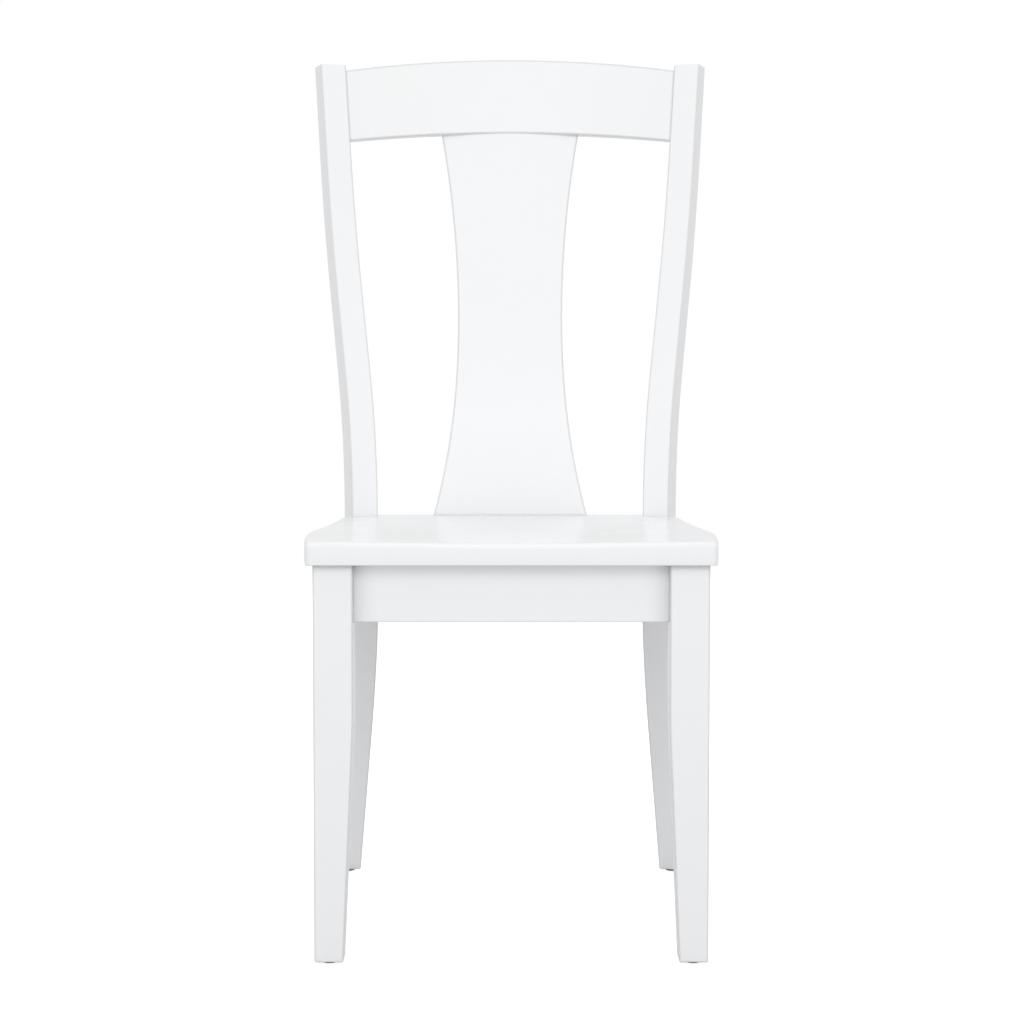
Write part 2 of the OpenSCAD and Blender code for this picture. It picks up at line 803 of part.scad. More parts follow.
// Frame of a block screw: its own +Z points into the apron, and Z = 0 is the top of its head
module at_block_screw(s) {
    translate(s[0]) rotate([0, 90, s[1]]) translate([0, 0, block_screw_depth - block_screw_l]) children();
}

module block_screw_hole(s) {
    at_block_screw(s) wood_screw(block_screw_l + over, fit);
}

// Pocket that lets a screw's head sink below the face it is driven from
module head_pocket(depth) {
    translate([0, 0, -depth]) cylinder(h = depth + fit, d = screw_head_d + 2 * head_room);
}

module corner_block(outline, screws, place_xy) {
    difference() {
        translate([0, 0, block_z]) linear_extrude(height = block_h) polygon(outline);
        for (s = screws) at_block_screw(s) {
            wood_screw(block_screw_l + over, fit);
            head_pocket(block_t);
        }
        translate([place_xy.x, place_xy.y, seat_screw_head_z]) {
            wood_screw(seat_screw_l, fit);
            head_pocket(block_h);
        }
    }
}

module front_corner_block() {
    color("burlywood") place() difference() {
        corner_block(front_block, [front_screw, front_side_screw], seat_screw_places[0]);
        bar(bolt_corner, bolt_az, 0, bolt_face + over, bolt_d + 2 * bolt_gap);
    }
}

module front_corner_block_right() {
    front_corner_block();
}

module front_corner_block_left() {
    left() front_corner_block();
}

module rear_corner_block() {
    color("burlywood") place()
        corner_block(rear_block, [rear_screw, rear_side_screw], seat_screw_places[1]);
}

module rear_corner_block_right() {
    rear_corner_block();
}

module rear_corner_block_left() {
    left() rear_corner_block();
}

module front_apron_dowels() {
    place() pair() dowels(front_pegs, dowel_d, dowel_depth);
}

module side_apron_dowels() {
    place() pair() dowels(concat(side_front_pegs, side_rear_pegs), dowel_d, dowel_depth);
}

module rear_apron_dowels() {
    place() pair() dowels(rear_pegs, dowel_d, dowel_depth);
}

module crest_rail_dowels() {
    place() pair() dowels(rail_pegs, rail_dowel_d, rail_dowel_depth);
}

module hanger_bolts() {
    color("silver") place() pair() bar(bolt_corner, bolt_az, bolt_depth, bolt_l, bolt_d);
}

// Flat ring on the hanger bolt that starts at the distance from and is h thick
module on_bolt(from, h, bore) {
    difference() {
        translate(bolt_corner) rotate([0, 90, bolt_az]) translate([0, 0, from]) children();
        bar(bolt_corner, bolt_az, -from + over, from + h + over, bore);
    }
}

module bolt_washers() {
    color("silver") place() pair()
        on_bolt(bolt_face, washer_t, bolt_d + 2 * bolt_gap) cylinder(h = washer_t, d = washer_d);
}

module bolt_nuts() {
    color("silver") place() pair()
        on_bolt(bolt_face + washer_t, nut_h, bolt_d + 2 * fit)
            cylinder(h = nut_h, r = nut_flats / sqrt(3), $fn = 6);
}

module corner_block_screws() {
    color("silver") place() pair()
        for (s = block_screws) at_block_screw(s) wood_screw(block_screw_l);
}

module seat_screws() {
    color("silver") place() pair()
        for (p = seat_screw_places) translate([p.x, p.y, seat_screw_head_z]) wood_screw(seat_screw_l);
}

// Middles of the feet, where the glides are nailed on
front_foot_taper = leg_taper_at(glide_h);
front_foot = [(leg_in + front_foot_taper + leg_x) / 2, (leg_w - front_foot_taper) / 2];
rear_foot_t = post_thick_at(glide_h);
rear_foot = post_at(lean(glide_h) + post_depth_at(glide_h) / 2, post_t - rear_foot_t / 2);

module nail_hole(p) {
    translate([p.x, p.y, 0]) cylinder(h = glide_h + nail_l + over, d = nail_d + 2 * fit);
}

// Turned glide with a recess in its top for the nail's head
module glide(p) {
    rise = glide_h / 3;
    color("dimgray") place() translate([p.x, p.y, 0]) difference() {
        rotate_extrude() polygon([
            [0, 0], [glide_flat_d / 2, 0], [(glide_flat_d + 2 * glide_d) / 6, rise / 2],
            [glide_d / 2, 2 * rise], [glide_d / 2, glide_h], [0, glide_h]
        ]);
        translate([0, 0, glide_h - nail_head_t]) cylinder(h = nail_head_t + over, d = nail_head_d + 2 * fit);
    }
}

module front_glide_right() {
    glide(front_foot);
}

module front_glide_left() {
    left() glide(front_foot);
}

module rear_glide_right() {
    glide(rear_foot);
}

module rear_glide_left() {
    left() glide(rear_foot);
}

module glide_nails() {
    color("silver") place() pair() for (p = [front_foot, rear_foot])
        translate([p.x, p.y, glide_h - nail_head_t]) {
            cylinder(h = nail_head_t, d = nail_head_d);
            cylinder(h = nail_head_t + nail_l - nail_d, d = nail_d);
            translate([0, 0, nail_head_t + nail_l - nail_d])
                cylinder(h = nail_d, r1 = nail_d / 2, r2 = tip_r);
        }
}

seat();
front_leg_left();
front_leg_right();
rear_post_left();
rear_post_right();
crest_rail();
back_splat();
front_apron();
rear_apron();
side_apron_left();
side_apron_right();
front_corner_block_left();
front_corner_block_right();
rear_corner_block_left();
rear_corner_block_right();
front_apron_dowels();
side_apron_dowels();
rear_apron_dowels();
crest_rail_dowels();
hanger_bolts();
bolt_washers();
bolt_nuts();
corner_block_screws();
seat_screws();
front_glide_left();
front_glide_right();
rear_glide_left();
rear_glide_right();
glide_nails();
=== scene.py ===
"""White painted side chair with a scooped seat and a bowed splat back, drawn round its CAD frame."""

import bpy
import numpy as np
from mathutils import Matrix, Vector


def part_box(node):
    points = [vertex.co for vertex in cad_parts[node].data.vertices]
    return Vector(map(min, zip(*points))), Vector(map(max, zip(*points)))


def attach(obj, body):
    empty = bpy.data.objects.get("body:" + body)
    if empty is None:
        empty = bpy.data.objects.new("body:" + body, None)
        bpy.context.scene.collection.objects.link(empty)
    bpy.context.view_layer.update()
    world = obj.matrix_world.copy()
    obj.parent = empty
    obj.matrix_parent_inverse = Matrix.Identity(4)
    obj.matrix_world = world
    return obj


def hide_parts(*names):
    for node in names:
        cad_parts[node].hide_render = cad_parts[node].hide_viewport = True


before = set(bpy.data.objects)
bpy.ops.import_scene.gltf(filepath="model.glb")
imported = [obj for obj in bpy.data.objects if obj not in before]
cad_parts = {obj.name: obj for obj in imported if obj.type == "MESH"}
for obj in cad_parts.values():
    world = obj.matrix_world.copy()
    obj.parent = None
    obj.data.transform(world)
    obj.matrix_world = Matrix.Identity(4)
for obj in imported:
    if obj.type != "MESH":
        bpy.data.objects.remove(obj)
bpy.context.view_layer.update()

# Lengths are millimetres, as in the part's source, and turn to metres where Blender gets them.
# While a piece is worked out, y is counted from the front faces of the front legs.
MM = 0.001


def span(node):
    """Lowest and highest corner of a CAD node in millimetres, as a (2, 3) array."""
    return np.array([tuple(corner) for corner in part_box(node)]) / MM


leg_lo, leg_hi = span("front_leg_right")
front_y = leg_lo[1]
seat_lo, seat_hi = span("seat") - (0, front_y, 0)
apron_lo, apron_hi = span("front_apron") - (0, front_y, 0)

# Heights and faces that the frame gives
seat_h = seat_hi[2]
seat_under = seat_lo[2]
seat_front = seat_lo[1]
seat_rear = seat_hi[1]
glide_h = leg_lo[2]
leg_x = leg_hi[0]
leg_w = leg_hi[1] - leg_lo[1]
leg_in = leg_x - leg_w
post_h = span("rear_post_right")[1, 2]
rail_top = span("crest_rail")[1, 2]
apron_h = apron_hi[2] - apron_lo[2]
apron_t = apron_hi[1] - apron_lo[1]
apron_inset = apron_lo[1]

# Front legs: the inner and back faces taper below this height, and the taper eases in
LEG_FOOT_W = 31
LEG_TAPER_H = 258
LEG_EASE_H = 60
LEG_EDGE_R = 2
FOOT_EDGE_R = 1.8

# Rear posts: place of the front inner corner at the seat, turn in plan, and sections
POST_GAP = 325.5
POST_Y = 381
POST_TURN = np.radians(18.5)
POST_T = 33.5
POST_FOOT_T = 27
POST_TAPER_H = 310
POST_DEPTH = 37.5
POST_TOP_DEPTH = 32
POST_FOOT_DEPTH = 27
POST_EDGE_R = 2.5
POST_LEAST_R = 0.2

# Curve that the posts, the rail and the splat share
BACK_BEND_H = 174
BACK_LEAN = np.radians(20.5)
BACK_STRAIGHT_H = 107
BACK_EASE_H = 175
BACK_TOP_LEAN = np.radians(12.6)
LEG_BEND_DROP = 91
LEG_BEND_H = 170
LEG_RAKE = np.radians(13.2)

# Crest rail and splat
RAIL_H = 97
RAIL_T = 26
RAIL_INSET = 3
RAIL_TOP_DROP = 18.5
RAIL_BOTTOM_DROP = 13.5
RAIL_EDGE_R = 3
SPLAT_FOOT_W = 190
SPLAT_WAIST_W = 131.5
SPLAT_TOP_W = 177
SPLAT_WAIST_H = 237
SPLAT_FOOT_FLARE = 2.2
SPLAT_TOP_FLARE = 1.95
SPLAT_T = 12
SPLAT_SET_BACK = 16
SPLAT_TOP_INSET = 2
SPLAT_EDGE_R = 2.5
SPLAT_HOUSING = 9
SPLAT_SUNK = 1

# Seat
SEAT_FRONT_W = 438
SEAT_REAR_W = 418
SEAT_WIDE_Y = 126
SEAT_CORNER_R = 6.5
SEAT_SIDE_PULL = 0.65
SEAT_EAR_IN = 5
SEAT_EAR_L = 45
SEAT_TOP_R = 6
SEAT_BOTTOM_R = 1.5
NOTCH_R = 0.8
NOTCH_GAP = 0.3
SCOOP_DEPTH = 5
SCOOP_FRONT = 2
SCOOP_W = 396
SCOOP_Y = 235
SCOOP_RIM = 42

# Aprons
SIDE_APRON_INSET = 10
REAR_APRON_INSET = 7
APRON_EDGE_R = 1
APRON_TOP_R = 0.5

# Corner blocks, and where their screws lie
BLOCK_T = 25
BLOCK_H = 43
BLOCK_GAP = 4
BLOCK_DROP = 2
SEAT_SCREW_L = 44
SEAT_SCREW_DEPTH = 14
SEAT_SCREW_ASIDE = 17
BLOCK_SCREW_L = 26
BLOCK_SCREW_DEPTH = 14

# Threads: flat root and flat tip of each, as shares of its pitch
BOLT_THREAD = 0.2, 0.15
NUT_THREAD = 0.25, 0.15
LAG_THREAD = 0.55, 0.12
SCREW_THREAD = 0.5, 0.12

# Hanger bolts: machine thread, whose height is a share of its pitch, plain neck and pointed wood thread
BOLT_D = 8
BOLT_DEPTH = 22
BOLT_TAIL = 4
BOLT_AZIMUTH = 135
BOLT_PITCH = 1.25
BOLT_THREAD_SHARE = 0.61
BOLT_CHAMFER = 1
NECK_HALF = 2
NECK_DEPTH = 0.2
LAG_PITCH = 3.0
LAG_CORE = 2.9
LAG_TIP_R = 0.3
LAG_TIP_SLOPE = 0.8

# Washers and nuts: the nut's thread runs between these distances outside the bolt's crests, its mouths
# are countersunk, and a cone turns its ends down to a share of the width over flats
WASHER_T = 1.6
NUT_FLATS = 13
NUT_H = 6.5
NUT_THREAD_GAP = 0.05, 0.3
NUT_MOUTH = 0.75
NUT_END_SHARE = 0.97
NUT_CONE = np.radians(30)
NUT_RIM_H = np.array([0, 0.15, 0.4, 0.8, 1.2])

# Wood screws: the head's top is chamfered down to its edge, a land follows and then the cone
SCREW_D = 4.5
SCREW_HEAD_D = 8.4
SCREW_CHAMFER = 0.25
SCREW_EDGE_H = 0.12
SCREW_LAND_H = 0.4
SCREW_PITCH = 2.2
SCREW_CORE = 1.45
SCREW_RUN_H = 1
SCREW_PLAIN_SHARE = 0.4
SCREW_TIP_R = 0.3
SCREW_TIP_SLOPE = 0.6

# Cross in a screw's head: a bar's half width, the softness of its sides, its reach, its depth and the
# power that shapes it lengthwise
RECESS_W = 0.62
RECESS_SOFT = 0.5
RECESS_R = 2.3
RECESS_DEPTH = 2.2
RECESS_POWER = 0.6

# How finely the painted pieces are divided: points on the quarter circle of a corner and of an end,
# places of the points between two corners, steps, rings or points of each piece, and the step for the
# seat's slope
CORNER_POINTS = 7
ROUND_POINTS = 6
FLAT_SHARES = np.array([0.04, 0.2, 0.5, 0.8, 0.96])
LEG_STEPS = 60
POST_STEPS = 150
RAIL_RINGS = 97
SPLAT_RINGS = 121
BOARD_STEPS = 12
SEAT_ROUND_POINTS = 8
SEAT_FIELD_STEPS = 40
SEAT_CORNER_POINTS = 10
FRONT_POINTS = 25
FRONT_CROWDING = 1.5
SIDE_SAMPLES = 4001
SIDE_POINTS = 70
SHELF_POINTS = 12
WALL_POINTS = 9
REAR_POINTS = 24
SLOPE_STEP = 0.5

# How finely the fasteners are divided: points round them, rings to a pitch, down a bore and over a
# head, and the radius of a head's innermost ring
BOLT_AROUND = 36
BOLT_RINGS = 8
LAG_RINGS = 12
NUT_AROUND = 144
BORE_RINGS = 42
SCREW_AROUND = 48
SCREW_RINGS = 9
HEAD_RINGS = 26
HEAD_MIDDLE_R = 0.12

# Heights where the rear legs start to bend, and of the rail's underside in its middle
leg_bend_h = seat_h - LEG_BEND_DROP
rail_under = rail_top - RAIL_H

# The back is laid out round one upright axis in front of it
bow_r = POST_GAP / 2 / np.sin(POST_TURN)
bow_y = POST_Y - bow_r * np.cos(POST_TURN)
turn_across = np.array([np.cos(POST_TURN), -np.sin(POST_TURN)])
turn_back = np.array([np.sin(POST_TURN), np.cos(POST_TURN)])
post_in = np.array([POST_GAP / 2, POST_Y])

# Middle line of the right side apron in plan, from the front leg's back face to the post's front face
side_start = np.array([leg_x - SIDE_APRON_INSET - apron_t / 2, leg_w])
side_way = post_in + turn_across * POST_T / 2 - side_start
side_way /= np.linalg.norm(side_way)

# Right side's blocks: corners of the leg and the post that they face, the way from each into the chair,
# and the blocks' middle height
front_corner = np.array([leg_in, leg_w])
front_into = np.array([-1, 1]) / np.sqrt(2)
rear_into = np.array([-1, -1]) / np.sqrt(2)
block_mid = seat_under - BLOCK_DROP - BLOCK_H / 2


def ease(t):
    """Rises from 0 to 1 without a corner at either end: 3 t squared less 2 t cubed."""
    t = np.clip(t, 0, 1)
    return t * t * (3 - 2 * t)


def bend(x, length, a0, a1):
    """Distance that an arc moves aside over a height x, as its slope turns from a0 to a1 over that
    length: the arc's radius times the fall of its cosine."""
    radius = length / (np.sin(a1) - np.sin(a0))
    sine = np.sin(a0) + np.clip(x, 0, length) / radius
    return radius * (np.cos(a0) - np.sqrt(1 - sine * sine))


def lean(z):
    """How far the posts' front faces lie behind their place at the seat: an arc, a straight and a
    counter-arc above the seat, and below it an arc that runs on straight at the rake."""
    h = z - seat_h
    eased = h - BACK_BEND_H - BACK_STRAIGHT_H
    above = (
        bend(h, BACK_BEND_H, 0, BACK_LEAN)
        + np.clip(h - BACK_BEND_H, 0, BACK_STRAIGHT_H) * np.tan(BACK_LEAN)
        + bend(eased, BACK_EASE_H, BACK_LEAN, BACK_TOP_LEAN)
        + np.maximum(eased - BACK_EASE_H, 0) * np.tan(BACK_TOP_LEAN)
    )
    drop = leg_bend_h - z
    below = bend(drop, LEG_BEND_H, 0, LEG_RAKE) + np.maximum(drop - LEG_BEND_H, 0) * np.tan(LEG_RAKE)
    return np.where(h > 0, above, below)


def rounded_box(x0, x1, y0, y1, radii):
    """Anticlockwise outlines of rectangles with round corners, as an array (rings, points, 2). Each
    corner is a quarter circle, from the lower left one on, and each side has a few points of its own.
    Every argument may be one number or one value a ring, and radii may have a second axis for the four
    corners."""
    x0, x1, y0, y1 = (np.atleast_1d(v).astype(float)[:, None, None] for v in (x0, x1, y0, y1))
    radii = np.asarray(radii, dtype=float)
    radii = radii.reshape(-1, 1, 1) if radii.ndim < 2 else radii[:, :, None]
    quarter = np.linspace(0, np.pi / 2, CORNER_POINTS)
    angle = np.pi + np.arange(4)[:, None] * np.pi / 2 + quarter
    right = np.array([0, 1, 1, 0])[None, :, None]
    upper = np.array([0, 0, 1, 1])[None, :, None]
    x = np.where(right, x1 - radii, x0 + radii) + radii * np.cos(angle)
    y = np.where(upper, y1 - radii, y0 + radii) + radii * np.sin(angle)
    corners = np.stack(np.broadcast_arrays(x, y), axis=-1)
    ends = corners[:, :, -1:]
    starts = np.roll(corners, -1, axis=1)[:, :, :1]
    sides = ends + (starts - ends) * FLAT_SHARES[:, None]
    return np.concatenate([corners, sides], axis=2).reshape(len(corners), -1, 2)


def rounded_run(z0, z1, r0, r1, steps):
    """Places from z0 to z1 and how far an outline draws in at each: a quarter circle of radius r0 at
    the start, nothing along the run, and a quarter circle of radius r1 at the end."""
    turn = np.linspace(0, np.pi / 2, ROUND_POINTS)
    back = turn[::-1]
    z = np.concatenate([
        z0 + r0 * (1 - np.cos(turn)),
        np.linspace(z0 + r0, z1 - r1, steps + 1)[1:-1],
        z1 - r1 * (1 - np.cos(back)),
    ])
    inset = np.concatenate([r0 * (1 - np.sin(turn)), np.zeros(steps - 1), r1 * (1 - np.sin(back))])
    # A radius of nothing would give the same place several times
    new = np.append(True, np.diff(z) > 0)
    return z[new], inset[new]


def raised(plan, z):
    """Outlines in plan, each lifted to its own height, as an array (rings, points, 3)."""
    return np.dstack([plan, np.broadcast_to(z[:, None], plan.shape[:2])])


def skin(rings, tip=None):
    """Points and faces of a closed solid. rings is an array (rings, points, 3), each ring anticlockwise
    about the way the rings are stacked. Four-sided faces join each ring to the next, and a fan closes
    each end, round the ring's mean or the tip that is given for the last one."""
    count, around = rings.shape[:2]
    tip = rings[-1].mean(axis=0) if tip is None else tip
    points = np.vstack([rings.reshape(-1, 3), rings[0].mean(axis=0), tip])
    i = np.arange(around)
    j = (i + 1) % around
    row = np.arange(count - 1)[:, None] * around
    walls = np.stack([row + i, row + j, row + around + j, row + around + i], axis=-1).reshape(-1, 4)
    last = (count - 1) * around
    start = np.stack([j, i, np.full(around, count * around)], axis=-1)
    end = np.stack([last + i, last + j, np.full(around, count * around + 1)], axis=-1)
    return points, walls.tolist() + start.tolist() + end.tolist()


def edge_shade_share(count, foot):
    """How much painted edge shade, partly standing for thinner film, each of the points of a solid that
    is made of rounded_box outlines gets: the square root of the sine of twice the angle along a corner's
    quarter circle, so 1 in its middle and 0 at its ends, and 0 on the sides and at the two tips. A piece
    with a foot has the same along the quarter circle that its first rings make round its lower end."""
    quarter = np.linspace(0, np.pi / 2, CORNER_POINTS)
    rise = np.linspace(0, np.pi / 2, ROUND_POINTS)
    ring = np.tile(np.concatenate([np.sqrt(np.abs(np.sin(2 * quarter))), 0 * FLAT_SHARES]), 4)
    film = np.tile(ring, ((count - 2) // len(ring), 1))
    if foot:
        film[:ROUND_POINTS] = np.maximum(film[:ROUND_POINTS], np.sqrt(np.abs(np.sin(2 * rise)))[:, None])
    return np.append(film, [0, 0])


def mirrored(shell):
    """The same solid on the -x side: x changes its sign and each face turns round."""
    points, faces = shell
    return points * (-1, 1, 1), [face[::-1] for face in faces]


def both_sides(shells):
    """The right side's solids and their mirror images as one set of points and faces: each solid's
    faces are counted on past the points before it."""
    shells = shells + [mirrored(shell) for shell in shells]
    firsts = np.cumsum([0] + [len(points) for points, _ in shells[:-1]]).tolist()
    faces = [[first + i for i in face] for first, (_, own) in zip(firsts, shells) for face in own]
    return np.vstack([points for points, _ in shells]), faces


def add_piece(name, shell, material, node):
    """Makes the mesh of one piece in the frame's metres, dresses it and lets it stand for its CAD
    node."""
    points, faces, *normals = shell
    mesh = bpy.data.meshes.new(name)
    mesh.from_pydata((points + (0, front_y, 0)) * MM, [], faces)
    mesh.shade_smooth()
    if normals:
        mesh.normals_split_custom_set_from_vertices(normals[0].tolist())
    mesh.materials.append(material)
    piece = bpy.data.objects.new(name, mesh)
    bpy.context.scene.collection.objects.link(piece)
    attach(piece, "root")
    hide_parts(node)
    return piece


def leg_taper(z):
    """How far a front leg's two inner faces have come in at the height z: a parabola that eases into a
    line."""
    slope = (leg_w - LEG_FOOT_W) / LEG_TAPER_H
    x = LEG_TAPER_H + LEG_EASE_H / 2 - z
    return slope * np.where(x < LEG_EASE_H, np.maximum(x, 0) ** 2 / 2 / LEG_EASE_H, x - LEG_EASE_H / 2)


def front_leg():
    """Square leg: a rounded square carried up, with its inner x side and its back y side drawn in by
    the taper."""
    z, inset = rounded_run(glide_h, seat_under, FOOT_EDGE_R, 0, LEG_STEPS)
    taper = leg_taper(z)
    back_y = leg_w - taper - inset
    outline = rounded_box(leg_in + taper + inset, leg_x - inset, inset, back_y, LEG_EDGE_R - inset)
    return skin(raised(outline, z))


def rear_post():
    """Curved post: a rounded rectangle carried up, level in each slice, moved back by the lean and
    turned in plan. Its inner face alone takes the thinning towards the floor."""
    z, inset = rounded_run(glide_h, post_h, FOOT_EDGE_R, POST_EDGE_R, POST_STEPS)
    thick = POST_T + (POST_FOOT_T - POST_T) * np.clip(1 - z / POST_TAPER_H, 0, 1)
    foot_share = np.clip((leg_bend_h - z) / leg_bend_h, 0, 1)
    top_share = np.clip((z - seat_h) / (post_h - seat_h), 0, 1)
    depth = (
        POST_DEPTH
        + (POST_FOOT_DEPTH - POST_DEPTH) * foot_share
        + (POST_TOP_DEPTH - POST_DEPTH) * top_share
    )
    radius = np.maximum(POST_EDGE_R - inset, POST_LEAST_R)
    outline = rounded_box(POST_T - thick + inset, POST_T - inset, inset, depth - inset, radius)
    across = outline[..., :1]
    back = outline[..., 1:] + lean(z)[:, None, None]
    return skin(raised(post_in + turn_across * across + turn_back * back, z))


def crest_rail():
    """Bowed and arched rail: an upright rounded rectangle carried round the back's axis from post to
    post. Its top and bottom fall with the square of the angle, and its radius grows with the lean."""
    angle = np.linspace(-POST_TURN, POST_TURN, RAIL_RINGS)
    share = (angle / POST_TURN) ** 2
    low = rail_under - RAIL_BOTTOM_DROP * share
    high = rail_top - RAIL_TOP_DROP * share
    outline = rounded_box(0, RAIL_T, low, high, RAIL_EDGE_R)
    z = outline[..., 1]
    radius = bow_r + lean(z) + RAIL_INSET + outline[..., 0]
    x = radius * np.sin(angle)[:, None]
    y = bow_y + radius * np.cos(angle)[:, None]
    return skin(np.stack([x, y, z], axis=-1))


def back_splat():
    """Hourglass board: a flat rounded rectangle carried up along the posts' curve, stretched so that it
    reaches the rail. Its half width leaves the waist as a power of the height on either side."""
    z = np.linspace(seat_h - SPLAT_SUNK, rail_under + SPLAT_HOUSING, SPLAT_RINGS)
    foot_y = POST_Y + SPLAT_SET_BACK
    top_y = bow_y + bow_r + lean(z[-1]) + RAIL_INSET + SPLAT_TOP_INSET
    y = foot_y + (top_y - foot_y) / lean(z[-1]) * lean(z)
    h = z - seat_h - SPLAT_WAIST_H
    over_waist = np.maximum(h, 0) / (rail_under - seat_h - SPLAT_WAIST_H)
    under_waist = np.maximum(-h, 0) / SPLAT_WAIST_H
    half = (
        SPLAT_WAIST_W
        + (SPLAT_TOP_W - SPLAT_WAIST_W) * over_waist ** SPLAT_TOP_FLARE
        + (SPLAT_FOOT_W - SPLAT_WAIST_W) * under_waist ** SPLAT_FOOT_FLARE
    ) / 2
    return skin(raised(rounded_box(-half, half, y, y + SPLAT_T, SPLAT_EDGE_R), z))


def seat_half(y):
    """Half width of the seat: a quarter sine out to the widest place, then an eased draw-in to the
    posts, and a parabola that rounds the last stretch in."""
    front, wide, rear = SEAT_FRONT_W / 2, seat_hi[0], SEAT_REAR_W / 2
    start = seat_front + SEAT_CORNER_R
    out = np.sin(np.pi / 2 * np.clip((y - start) / (SEAT_WIDE_Y - start), 0, 1))
    back = ease(np.clip((y - SEAT_WIDE_Y) / (POST_Y - SEAT_WIDE_Y), 0, 1) ** SEAT_SIDE_PULL)
    ear = SEAT_EAR_IN * np.clip((y - POST_Y) / SEAT_EAR_L + 1, 0, 1) ** 2
    return np.where(y < SEAT_WIDE_Y, front + (wide - front) * out, wide + (rear - wide) * back - ear)


def seat_top(x, y):
    """Height of the seat: a scoop across of the form (1 - x squared) squared, times its depth along the
    seat, which eases from the front edge to the deepest place and from there out to the rim at the
    back."""
    across = (1 - np.clip(2 * np.abs(x) / SCOOP_W, 0, 1) ** 2) ** 2
    end = seat_rear - SCOOP_RIM
    ahead = SCOOP_FRONT + (SCOOP_DEPTH - SCOOP_FRONT) * ease((y - seat_front) / (SCOOP_Y - seat_front))
    behind = SCOOP_DEPTH * ease((end - y) / (end - SCOOP_Y))
    return seat_h - across * np.where(y < SCOOP_Y, ahead, behind)


def notch_round(part, corner):
    """Roundover radius along an edge of the notch: crisp, but growing in a line to the seat's own
    within that radius of the corner where the edge meets the seat's outline."""
    near = np.linalg.norm(part - corner, axis=1)
    return NOTCH_R + (SEAT_TOP_R - NOTCH_R) * np.clip(1 - near / SEAT_TOP_R, 0, 1)


def seat_outline():
    """Plan of the seat's right half from the middle of its front edge to the middle of its rear edge,
    and the roundover radius of its upper edge there. The notch for the post cuts the rear corner: its
    shelf runs in from the side, and its wall runs back from there."""
    turn = np.linspace(-np.pi / 2, 0, SEAT_CORNER_POINTS)
    corner = np.array([SEAT_FRONT_W / 2 - SEAT_CORNER_R, seat_front + SEAT_CORNER_R])
    front_x = corner[0] * (1 - np.linspace(1, 0, FRONT_POINTS) ** FRONT_CROWDING)
    front = np.column_stack([front_x, np.full_like(front_x, seat_front)])[:-1]
    bow = corner + SEAT_CORNER_R * np.column_stack([np.cos(turn), np.sin(turn)])
    inner = post_in - NOTCH_GAP * (turn_across + turn_back)
    # The side ends where it meets the notch's front line
    y = np.linspace(corner[1], POST_Y, SIDE_SAMPLES)
    side = np.column_stack([seat_half(y), y])
    side = side[(side - inner) @ turn_back < 0]
    side = side[np.linspace(1, len(side) - 1, SIDE_POINTS).astype(int)]
    # No point comes nearer to a corner than the roundover reaches, or its inner edge would fold back
    length = np.linalg.norm(inner - side[-1])
    shelf = side[-1] + (inner - side[-1]) * np.linspace(SEAT_TOP_R / length, 1, SHELF_POINTS)[:, None]
    reach = (seat_rear - inner[1]) / turn_back[1]
    wall = inner + turn_back * (reach * np.linspace(0, 1, WALL_POINTS)[1:, None])
    rear_x = np.linspace(wall[-1][0] - 2 * SEAT_TOP_R, 0, REAR_POINTS)
    rear = np.column_stack([rear_x, np.full_like(rear_x, seat_rear)])
    ahead = np.concatenate([front, bow, side])
    radii = [
        np.full(len(ahead), SEAT_TOP_R),
        notch_round(shelf, side[-1]),
        notch_round(wall, wall[-1]),
        np.full(len(rear), SEAT_TOP_R),
    ]
    return np.concatenate([ahead, shelf, wall, rear]), np.concatenate(radii)


def seat():
    """Scooped board: its outline carried up through both roundovers, then drawn in towards the middle
    while the height follows the scoop."""
    half, half_r = seat_outline()
    plan = np.concatenate([half, half[-2:0:-1] * (-1, 1)])
    radius = np.concatenate([half_r, half_r[-2:0:-1]])[:, None]
    along = np.roll(plan, -1, axis=0) - plan
    normal = np.column_stack([-along[:, 1], along[:, 0]])
    normal /= np.linalg.norm(normal, axis=1, keepdims=True)
    before = np.roll(normal, 1, axis=0)
    # Inward step that moves both neighbouring edges in by one
    inward = (normal + before) / (1 + (normal * before).sum(axis=1, keepdims=True))
    turn = np.linspace(0, np.pi / 2, SEAT_ROUND_POINTS)
    low_r = SEAT_BOTTOM_R * radius / SEAT_TOP_R
    rim = plan + inward * radius
    rim_z = seat_top(*rim.T)[:, None]
    rings = [
        np.hstack([plan + inward * low_r * (1 - np.sin(t)), seat_under + low_r * (1 - np.cos(t))])
        for t in turn
    ]
    rings += [
        np.hstack([plan + inward * radius * (1 - np.cos(t)), rim_z - radius * (1 - np.sin(t))])
        for t in turn
    ]
    middle = np.array([0, seat_front + seat_rear]) / 2
    for share in np.linspace(0, 1, SEAT_FIELD_STEPS + 1)[1:-1]:
        spot = rim + (middle - rim) * share
        rings.append(np.hstack([spot, seat_top(*spot.T)[:, None]]))
    points, faces = skin(np.array(rings), np.array([*middle, seat_top(*middle)]))
    # The field's normals come from the scoop's own slope, so that no ring shows, and the underside's
    # point straight down; zero keeps the mesh's own
    normals = np.zeros_like(points)
    normals[:len(plan)] = 0, 0, -1
    field = np.arange(len(points)) >= (2 * len(turn) - 1) * len(plan)
    x, y = points[field, 0], points[field, 1]
    slope_x = (seat_top(x + SLOPE_STEP, y) - seat_top(x - SLOPE_STEP, y)) / (2 * SLOPE_STEP)
    slope_y = (seat_top(x, y + SLOPE_STEP) - seat_top(x, y - SLOPE_STEP)) / (2 * SLOPE_STEP)
    normals[field] = np.column_stack([-slope_x, -slope_y, np.ones_like(x)])
    normals[-2] = 0, 0, -1
    return points, faces, normals


